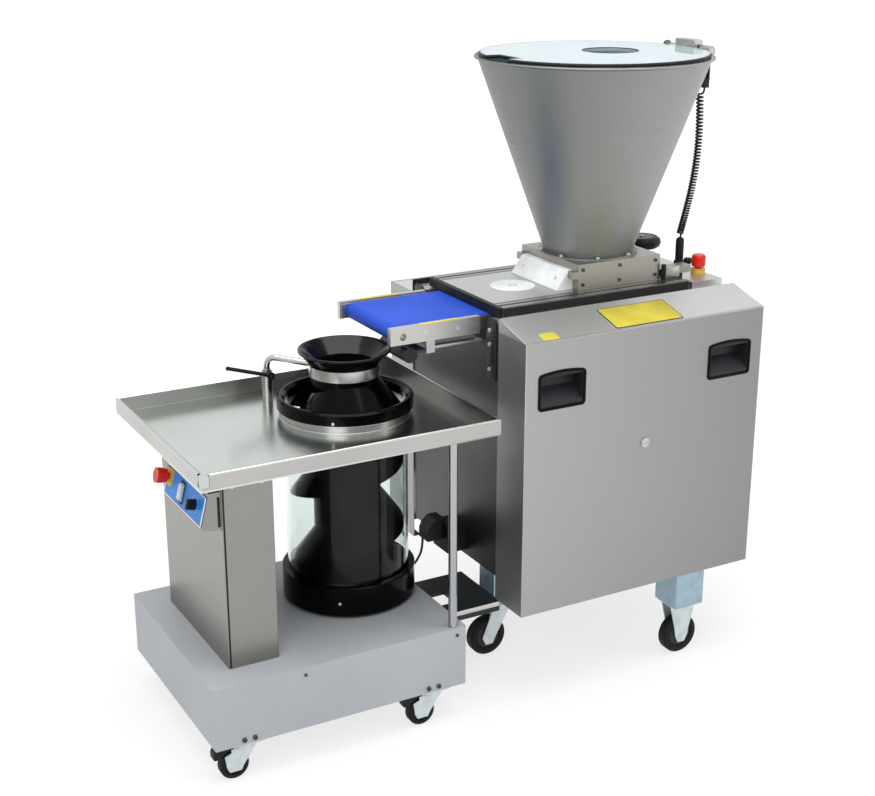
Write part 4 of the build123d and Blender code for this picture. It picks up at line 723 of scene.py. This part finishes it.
# The auger and its funnel: glossy black plastic that the dough slides on, the flight wound on a hollow core.
# A bent stainless arm holds them by a clamp band, and a black lever clamps the arm in its socket.
dress(black_gloss, "auger")
funnel_gloss = moulded("glossy_funnel_plastic", (0.003, 0.0042, 0.0045), low=0.12, high=0.2, shine=0.24)
dress(funnel_gloss, "funnel")
run_out_section = ((0.094, 0.830), (0.160, 0.833), (0.160, 0.839), (0.094, 0.924))
run_out_from = 70.4
run_out_to = 140.0
run_out_steps = 24
run_out = bmesh.new()
sections = []
for part in range(run_out_steps + 1):
    angle = math.radians(run_out_from + (run_out_to - run_out_from) * part / run_out_steps)
    section = []
    for radius, height in run_out_section:
        place = (drum_x + radius * math.cos(angle), radius * math.sin(angle), height)
        section.append(run_out.verts.new(place))
    sections.append(section)
for section, following in zip(sections, sections[1:]):
    for a in range(len(section)):
        run_out.faces.new((section[a - 1], section[a], following[a], following[a - 1]))
run_out.faces.new(sections[0])
run_out.faces.new(sections[-1])
keep("flight_run_out", run_out, "feeder", black_gloss)
arm_steel = brushed("bright_arm", (0.6, 0.595, 0.58), grain="x", roughness=0.2)
dress(arm_steel, "feed_arm")
arm_route = [(-0.364, 0.0735, 0.9572), (-0.4547, 0.1687, 0.966), (-0.4547, 0.1687, 0.9283)]
rolled_line("arm_tube", "feeder", arm_steel, arm_route, roll=0.009, corner=0.026)
dress(black_matt, "clamp_lever")
rolled_line("funnel_edge", "feeder", funnel_gloss,
            circle((drum_x, 0), radius=0.1258, height=1.0085), roll=0.0022, closed=True)

# The drum's drive under the base top and the docking frame between the two machines.
# The motor is painted dark grey, the frame black, with a bright steel strip along its front edge.
motor_paint = powder_coat("motor_paint", (0.05, 0.053, 0.056), darker=(0.04, 0.042, 0.045))
dress(motor_paint, "drive_motor")
black_paint = powder_coat("black_powder_coat", (0.008, 0.008, 0.008), darker=(0.006, 0.006, 0.006))
dress(black_paint, "dock_frame")
dock_edge = (0.01, -0.14, 0.1965)
plates("dock_edge_strip", "machine", rim_steel, [(dock_edge, to_right, to_top)],
       length=0.236, width=0.014, thick=0.0012, corner=0.001)

# The divider's frame: zinc plated legs, beams and uprights on three castors.
# The left castor swivels and the right pair is fixed, each under a plate at the foot of its leg.
blue_zinc = zinc_plated("blue_zinc", (0.34, 0.46, 0.54))
dress(blue_zinc, "divider_frame", "divider_uprights")
dress(zinc, "divider_fork")
for wheel in ("divider_wheel_left", "divider_wheel_right_front", "divider_wheel_right_rear"):
    wheel_finish(wheel)
leg_cheek_foot = [(-0.022, 0.004), (-0.013, -0.02), (0.013, -0.02), (0.022, 0.004)]
swivel_leg_cheek = [(0.0744, 0.0937), (0.0136, 0.0937)] + leg_cheek_foot
fixed_leg_cheek = [(0.046, 0.1045), (-0.046, 0.1045)] + leg_cheek_foot
fork_cheeks("divider_cheeks_left", "divider_fork", "divider_wheel_left", swivel_leg_cheek)
for row in ("front", "rear"):
    fork_cheeks(f"divider_cheeks_right_{row}", "machine", f"divider_wheel_right_{row}", fixed_leg_cheek)

# The cabinet: stainless side panels and deck round the frame, with a raised ledge on the right.
# Black brackets, each with three bolts, tie the conveyor and the slide to the left panel.
cabinet_steel = finish("stainless_cabinet", (0.3, 0.3, 0.29), roughness=0.4, metallic=1.0)
cabinet_lines = pattern(cabinet_steel, (900, 900, 9), 4.0)
cabinet_clouds = pattern(cabinet_steel, (2.4, 2.4, 2.4), 2.0)
# The left panel's dark tone is painted shade, where it lies in the shade of the rounder; the deck and the
# other sides are bright.
past_left_panel = spread(cabinet_steel, own_axis(cabinet_steel, "X"), low=0.057, high=0.06)
left_panel_painted_shade_tone = tones(cabinet_steel, cabinet_clouds, ((0.085, 0.087, 0.082), (0.135, 0.137, 0.13)))
deck_tone = tones(cabinet_steel, cabinet_clouds, ((0.5, 0.505, 0.49), (0.6, 0.605, 0.59)))
colour_by(cabinet_steel, layered(cabinet_steel, past_left_panel, left_panel_painted_shade_tone, deck_tone))
gloss(cabinet_steel, cabinet_lines, 0.34, 0.5)
relief(cabinet_steel, cabinet_lines, 0.00025, 0.25)
dress(cabinet_steel, "cabinet_body")
panel_x = 0.054
bracket_y = 0.2075
bracket_z = 1.0115
bracket_thick = 0.004
bracket_places = [((panel_x, side * bracket_y, bracket_z), to_top, to_back) for side in (-1, 1)]
plates("slide_brackets", "machine", black_paint, bracket_places, length=0.175, width=0.044,
       thick=bracket_thick, corner=0.004)
bracket_bolt_y = 0.2
bracket_bolts = []
for side in (-1, 1):
    for height in (1.064, 1.024, 0.953):
        bracket_bolts.append(((panel_x - bracket_thick, side * bracket_bolt_y, height), to_left))
fastener_heads("bracket_bolts", "machine", zinc, bracket_bolts, radius=0.006, height=0.008,
               sides=6, recess=0.55)

# The covers: folded stainless sheet with sloping tops, open towards the cabinet.
# The front one lifts off by two moulded handles after its latch is turned; the rear one is screwed on.
cover_left = 0.05
cover_right = 0.85
cover_front = -0.385
cover_back = 0.388
cover_foot = 0.278
shoulder = 1.069
cover_steel = brushed("stainless_cover", (0.37, 0.37, 0.362), grain="z", roughness=0.4)
# Painted light and shade: the upright face darkens a little towards the right as painted shade, and the
# slope above it is bright with painted light.
across_cover = spread(cover_steel, own_axis(cover_steel, "X"), low=cover_left, high=cover_right)
face_painted_shade_tone = tones(cover_steel, across_cover, ((0.365, 0.365, 0.357), (0.255, 0.255, 0.25)), (0.0, 1.0))
slope_painted_light_tone = tones(cover_steel, across_cover, ((0.6, 0.615, 0.595), (0.56, 0.575, 0.56)), (0.0, 1.0))
on_slope = spread(cover_steel, own_axis(cover_steel, "Z"), low=shoulder, high=shoulder + 0.002)
colour_by(cover_steel, layered(cover_steel, on_slope, face_painted_shade_tone, slope_painted_light_tone))
dress(cover_steel, "front_cover", "rear_cover")
slope_rise = 0.27
cover_depth = 0.14
ridge = shoulder + slope_rise * cover_depth
edge_steel = brushed("bright_cover_edge", (0.42, 0.42, 0.41), grain="z", roughness=0.34)
fold = 0.0016
fold_inset = 0.001
for name, body, face_y, inner in (("front", "cover", cover_front, 1), ("rear", "machine", cover_back, -1)):
    inset_y = face_y + inner * fold_inset
    ridge_y = face_y + inner * cover_depth
    for side, edge_x in (("left", cover_left + fold_inset), ("right", cover_right - fold_inset)):
        side_fold = [
            (edge_x, inset_y, cover_foot), (edge_x, inset_y, shoulder - fold_inset),
            (edge_x, ridge_y, ridge - fold_inset),
        ]
        rolled_line(f"{name}_cover_{side}_fold", body, edge_steel, side_fold, roll=fold)
    top_fold = [(x, inset_y, shoulder - fold_inset) for x in (cover_left, cover_right)]
    rolled_line(f"{name}_cover_shoulder", body, edge_steel, top_fold, roll=fold)
rear_screw_y = 0.30
rear_screws = []
for height in (0.36, 0.68, 1.0):
    rear_screws.append(((cover_left, rear_screw_y, height), to_left))
    rear_screws.append(((cover_right, rear_screw_y, height), to_right))
fastener_heads("rear_cover_screws", "machine", zinc, rear_screws, radius=0.006, height=0.004)

handle_plastic = moulded("handle_plastic", (0.019, 0.021, 0.025), low=0.4, high=0.52, shine=0.3)
dress(handle_plastic, "cover_handles")
handle_width = 0.144
handle_base = 0.880
handle_height = 0.102
handle_arch = 0.007
arch_parts = 8
for name, handle_x in (("left", 0.166), ("right", 0.734)):
    left = handle_x - handle_width / 2
    right = handle_x + handle_width / 2
    spring = handle_base + handle_height - handle_arch
    outline = [(left, cover_front, handle_base), (right, cover_front, handle_base)]
    outline.append((right, cover_front, spring))
    for part in range(1, arch_parts):
        share = part / arch_parts
        rise = handle_arch * (1 - (2 * share - 1) ** 2)
        outline.append((right + (left - right) * share, cover_front, spring + rise))
    outline.append((left, cover_front, spring))
    rolled_line(f"handle_{name}_bezel", "cover", black_gloss, outline, roll=0.0045,
                corner=0.008, closed=True)
latch_steel = brushed("turned_latch", (0.5, 0.5, 0.49), grain="y", roughness=0.26)
dress(latch_steel, "cover_latch")

bevel_along = Vector((1, 0, 0))
bevel_up = Vector((0, 1, slope_rise)).normalized()


def on_bevel(x, y):
    """A point on the front cover's sloping top."""
    return Vector((x, y, shoulder + slope_rise * (y - cover_front)))


yellow_sheet = moulded("yellow_blank_plate", (0.62, 0.53, 0.055), low=0.45, high=0.6, shine=0.3)
plate_middle = on_bevel(0.458, -0.325)
plates("blank_plate", "cover", yellow_sheet, [(plate_middle, bevel_along, bevel_up)],
       length=0.226, width=0.106, thick=0.0012, corner=0.006)
small_plate_middle = on_bevel(0.136, -0.362)
plates("small_blank_plate", "cover", yellow_sheet, [(small_plate_middle, bevel_along, bevel_up)],
       length=0.05, width=0.036, thick=0.0012, corner=0.006)
border_half = 0.112
border_rise = 0.052
border = []
for a, b in square:
    border.append(plate_middle + bevel_along * (a * border_half) + bevel_up * (b * border_rise))
rolled_line("blank_plate_border", "cover", black_matt, border, roll=0.0016, corner=0.005,
            closed=True)

# The slide: machined guides on the deck, a black end bar, and the chamber plate with its white piston.
# Black seal strips lie in the guides' grooves, black strips lie along their sides, and a white wedge scrapes
# the plate.
guide_steel = brushed("machined_guides", (0.3, 0.3, 0.295), grain="x", roughness=0.3)
dress(guide_steel, "slide_guides")
plate_steel = brushed("ground_plate", (0.52, 0.54, 0.535), grain="x", roughness=0.34)
dress(plate_steel, "chamber_plate")
dress(black_matt, "slide_end_bar")
dress(white_plastic, "piston", "scraper")
guide_x = 0.4075
guide_side = 0.198
guide_length = 0.628
groove_y = 0.175
groove_z = 1.1142
groove_places = [((guide_x, side * groove_y, groove_z), to_right, to_back) for side in (-1, 1)]
plates("guide_seals", "machine", seal, groove_places, length=guide_length, width=0.0096,
       thick=0.0056, corner=0.0008)
side_z = 1.1045
side_places = [
    ((guide_x, -guide_side, side_z), to_right, to_top),
    ((guide_x, guide_side, side_z), to_left, to_top),
]
plates("guide_side_black_strips", "machine", seal, side_places, length=guide_length, width=0.024,
       thick=0.0016, corner=0.001)
rolled_line("piston_mark", "piston", black_matt,
            circle((0.243, 0), radius=0.012, height=1.1198, count=32), roll=0.0007, closed=True)
scraper_face = Vector((-0.051, 0, 0.038)).normalized()
scraper_screws = [((0.334, y, 1.149), scraper_face) for y in (-0.085, 0.085)]
fastener_heads("scraper_screws", "machine", zinc, scraper_screws, radius=0.006, height=0.003)
dress(motor_paint, "plate_drive")

# The hopper and its base: a rolled stainless cone with a beaded rim on a machined box.
# Eight bolts hold the cone's flange, socket screws close the box, and clamps hold it down on the guides.
base_steel = brushed("machined_hopper_base", (0.34, 0.325, 0.29), grain="x", roughness=0.34)
dress(base_steel, "hopper_base")
hopper_steel = finish("stainless_hopper", (0.42, 0.42, 0.4), roughness=0.46, metallic=1.0)
hopper_lines = pattern(hopper_steel, (14, 14, 700), 4.0)
# The cone's colour is darker at the left with painted shade and lighter at the right.
across_hopper = spread(hopper_steel, own_axis(hopper_steel, "X"), low=0.25, high=0.75)
hopper_painted_shade_tones = ((0.205, 0.212, 0.204), (0.345, 0.348, 0.336))
colour_by(hopper_steel, tones(hopper_steel, across_hopper, hopper_painted_shade_tones, (0.0, 1.0)))
gloss(hopper_steel, hopper_lines, 0.38, 0.54)
relief(hopper_steel, hopper_lines, 0.0002, 0.2)
dress(hopper_steel, "hopper")
hopper_x = 0.501
bolt_circle = 0.138
flange_top = 1.2015
flange_bolts = []
for part in range(8):
    angle = math.radians(22.5 + 45 * part)
    bolt_x = hopper_x + bolt_circle * math.cos(angle)
    flange_bolts.append(((bolt_x, bolt_circle * math.sin(angle), flange_top), to_top))
fastener_heads("flange_bolts", "machine", zinc, flange_bolts, radius=0.0055, height=0.007,
               sides=6, recess=0.6)
box_half = 0.15
box_screws = front_and_back(-box_half, box_half, xs=(0.384, 0.51, 0.636), heights=(1.137, 1.18))
fastener_heads("hopper_base_screws", "machine", dark_steel, box_screws, radius=0.0055,
               height=0.005)
clamp_x = 0.697
clamp_z = 1.1385
clamp_places = [
    ((clamp_x, -box_half, clamp_z), to_right, to_top),
    ((clamp_x, box_half, clamp_z), to_left, to_top),
]
plates("base_clamps", "machine", base_steel, clamp_places, length=0.05, width=0.035,
       thick=0.008, corner=0.003)
pin_x = 0.6605
pin_y = 0.1585
pin_z = 1.143
clamp_pins = [((pin_x, side * pin_y, pin_z), to_top) for side in (-1, 1)]
fastener_heads("base_clamp_pins", "machine", black_matt, clamp_pins, radius=0.0075,
               height=0.044, sides=16, recess=0.6)

# The lid: a clear acrylic disc with a loading hole and a finger notch, with a black band round its edge.
# It swings up on a stainless rod that turns in two ears on the hopper's rim.
lid_acrylic = acrylic("clear_lid", (0.69, 0.82, 0.87), roughness=0.02, clearness=0.6)
dress(lid_acrylic, "lid")
hinge_steel = brushed("turned_hinge", (0.36, 0.355, 0.34), grain="y", roughness=0.28)
# The rod's end knob is blackened.
on_knob = spread(hinge_steel, own_axis(hinge_steel, "Y"), low=0.090, high=0.092)
hinge_clouds = pattern(hinge_steel, (60, 60, 60), 3.0)
hinge_tone = tones(hinge_steel, hinge_clouds, ((0.3, 0.296, 0.283), (0.4, 0.395, 0.38)))
knob_tone = tones(hinge_steel, hinge_clouds, ((0.05, 0.052, 0.052), (0.09, 0.093, 0.093)))
colour_by(hinge_steel, layered(hinge_steel, on_knob, hinge_tone, knob_tone))
dress(hinge_steel, "lid_hinge")
lid_middle = 1.7603
lid_edge = []
notch_half = 0.058
edge_radius = 0.3215
notch_bearing = math.asin(notch_half / edge_radius)
edge_parts = 96
for part in range(edge_parts + 1):
    angle = -math.pi + notch_bearing + (2 * math.pi - 2 * notch_bearing) * part / edge_parts
    lid_edge.append((hopper_x + edge_radius * math.cos(angle), edge_radius * math.sin(angle), lid_middle))
notch_x = hopper_x - 0.276
lid_edge += [(notch_x, notch_half, lid_middle), (notch_x, -notch_half, lid_middle)]
rolled_line("lid_edging", "lid_assembly", black_matt, lid_edge, roll=0.0048, closed=True)
hole_edge = circle((0.556, 0), radius=0.0803, height=lid_middle + 0.0045)
rolled_line("lid_hole_edge", "lid_assembly", seal, hole_edge, roll=0.0012, closed=True)


# The ledge's controls: a red stop button on its yellow collar, a black handwheel with a crank grip,
# a small turned knob and the moulded grip of the lead's plug, all set into the raised ledge.
turned_sides = 40


def turned(name, body, material, outline, centre):
    """A piece turned about a vertical line, from its outline of radius and height."""
    shape = bmesh.new()
    rings = []
    for part in range(turned_sides):
        angle = 2 * math.pi * part / turned_sides
        ring = []
        for radius, height in outline:
            place = (centre[0] + radius * math.cos(angle), centre[1] + radius * math.sin(angle), height)
            ring.append(shape.verts.new(place))
        rings.append(ring)
    for ring, following in zip(rings, rings[1:] + rings[:1]):
        for a in range(len(outline) - 1):
            shape.faces.new((ring[a], following[a], following[a + 1], ring[a + 1]))
    bmesh.ops.remove_doubles(shape, verts=shape.verts, dist=0.000001)
    keep(name, shape, body, material)


dress(black_gloss, "handwheel")
ledge_top = 1.112
knob_outline = [
    (0.0, ledge_top), (0.008, ledge_top), (0.008, ledge_top + 0.012), (0.0125, ledge_top + 0.015),
    (0.0135, ledge_top + 0.024), (0.011, ledge_top + 0.029), (0.0, ledge_top + 0.03),
]
turned("ledge_knob", "machine", black_matt, knob_outline, centre=(0.837, -0.047))
wheel_axis = (0.78, 0.112)
rolled_line("handwheel_rim", "handwheel", black_matt,
            circle(wheel_axis, radius=0.041, height=1.167), roll=0.018, closed=True)
wheel_top = 1.1845
fastener_heads("handwheel_screw", "handwheel", zinc, [((*wheel_axis, wheel_top), to_top)],
               radius=0.007, height=0.004)
plug_outline = [
    (0.0, ledge_top), (0.0125, ledge_top), (0.0125, 1.188), (0.011, 1.196), (0.006, 1.199), (0.0, 1.1992),
]
turned("plug_grip", "machine", black_matt, plug_outline, centre=(0.829, -0.014))

# The conveyor: stainless side plates and rails, a blue food-grade belt on two rollers, a motor below.
# The rails carry blank yellow strips, and bolts hold the side plates to the rails.
rail_steel = brushed("stainless_rails", (0.56, 0.55, 0.535), grain="x")
dress(rail_steel, "conveyor_frame")
roller_steel = brushed("turned_rollers", (0.5, 0.5, 0.49), grain="y", roughness=0.28)
dress(roller_steel, "drive_roller", "idler_roller")
dress(motor_paint, "conveyor_motor")
belt_weave = finish("blue_belt", (0.02, 0.08, 0.56), roughness=0.55, shine=0.25)
weave = pattern(belt_weave, (420, 420, 420), 1.0)
belt_dust = pattern(belt_weave, (7, 7, 7), 4.0)
colour_by(belt_weave, tones(belt_weave, belt_dust, ((0.012, 0.065, 0.5), (0.018, 0.085, 0.58))))
gloss(belt_weave, weave, 0.5, 0.7)
relief(belt_weave, weave, 0.0004, 0.3)
dress(belt_weave, "conveyor_belt")
rail_top = 1.096
rail_y = 0.1555
rail_strips = (("front", -0.087, -rail_y, 0.118), ("rear", -0.104, rail_y, 0.128))
for name, strip_x, strip_y, strip_length in rail_strips:
    strip_place = ((strip_x, strip_y, rail_top), to_right, to_back)
    plates(f"{name}_rail_strip", "machine", yellow_sheet, [strip_place], length=strip_length,
           width=0.013, thick=0.001, corner=0.002)
rail_side = 0.1635
rail_bolts = front_and_back(-rail_side, rail_side, xs=(-0.13, -0.03), heights=(1.072,))
fastener_heads("rail_bolts", "machine", zinc, rail_bolts, radius=0.0055, height=0.004)


# The leads: the lid switch's curly lead hangs from the switch to its plug on the ledge.
# The power lead goes from the socket's hood to a gland on the rounder's base. Both have a rubber sheath,
# and the switch, plug and socket are moulded in black plastic.
def spline_line(name, points, thickness=0.0):
    """One smooth open line with these control points; thickness is the sheath's radius."""
    curve = bpy.data.curves.new(name, "CURVE")
    curve.dimensions = "3D"
    curve.bevel_depth = thickness
    curve.bevel_resolution = 4
    curve.use_fill_caps = thickness > 0
    spline = curve.splines.new("NURBS")
    spline.points.add(len(points) - 1)
    for point, place in zip(spline.points, points):
        point.co = (*place, 1)
    spline.order_u = 3
    spline.use_endpoint_u = True
    spline.resolution_u = 6
    line = bpy.data.objects.new(name, curve)
    scene.collection.objects.link(line)
    return line


dress(black_matt, "lid_switch", "lead_plug", "power_socket")
sheath = moulded("lead_sheath", (0.007, 0.007, 0.007), low=0.36, high=0.5, shine=0.3)

lead_top = Vector((0.832268, -0.085, 1.654))
lead_foot = Vector((0.829, -0.014, 1.196))
lead_straight = 0.010
curl_radius = 0.0085
curl_wire = 0.006
curl_count = 48
curl_stretch = 0.28
curl_points = 12
lead_bow = 0.024
down = Vector((0, 0, -1))
middle_top = lead_top + Vector((-curl_radius, curl_radius, -lead_straight - curl_radius))
middle_foot = lead_foot + Vector((-curl_radius, -curl_radius, lead_straight + curl_radius))
middle_route = []
for share in (0.0, 0.2, 0.4, 0.6, 0.8, 1.0):
    bow = Vector((lead_bow * math.sin(math.pi * share), 0, 0))
    middle_route.append(middle_top.lerp(middle_foot, share) + bow)
middle_line = spline_line("lead_middle", middle_route)
bpy.context.view_layer.update()
settled = bpy.context.evaluated_depsgraph_get()
middle_mesh = bpy.data.meshes.new_from_object(middle_line.evaluated_get(settled))
middle = [vertex.co.copy() for vertex in middle_mesh.vertices]
bpy.data.objects.remove(middle_line)
bpy.data.meshes.remove(middle_mesh)


def along_line(points, share):
    """The point at a share of a line's length."""
    lengths = [(b - a).length for a, b in zip(points, points[1:])]
    left = share * sum(lengths)
    for a, b, length in zip(points, points[1:], lengths):
        if left <= length:
            return a.lerp(b, left / length)
        left -= length
    return points[-1]


curl_reach = curl_radius / math.cos(math.pi / curl_points)
curls = [lead_top, lead_top + down * lead_straight]
for curl_step in range(curl_count * curl_points + 1):
    share = curl_step / (curl_count * curl_points)
    spot = along_line(middle, share * (1 + curl_stretch) - curl_stretch * share**2)
    angle = 2 * math.pi * curl_step / curl_points
    curls.append(spot + Vector((curl_reach * math.cos(angle), curl_reach * math.sin(angle), 0)))
curls += [lead_foot - down * lead_straight, lead_foot]
curly_lead = spline_line("curly_switch_lead", curls, curl_wire / 2)
curly_lead.data.splines[0].resolution_u = 2
curly_lead.data.materials.append(sheath)
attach(curly_lead, "machine")
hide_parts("curly_lead")

hood_exit = Vector((-0.051, 0.003, 0.395))
gland_face = Vector((-0.102, 0.114, 0.256))
power_route = [
    hood_exit,
    hood_exit + Vector((0, 0, -0.038)),
    hood_exit + Vector((-0.011, 0.012, -0.077)),
    gland_face + Vector((0.036, -0.072, 0.030)),
    gland_face + Vector((0.042, -0.042, 0.010)),
    gland_face + Vector((0.040, -0.014, 0.001)),
    gland_face + Vector((0.022, 0, 0)),
    gland_face,
]
power_lead = spline_line("power_lead_sheath", power_route, 0.0035)
power_lead.data.materials.append(sheath)
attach(power_lead, "machine")
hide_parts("power_lead")
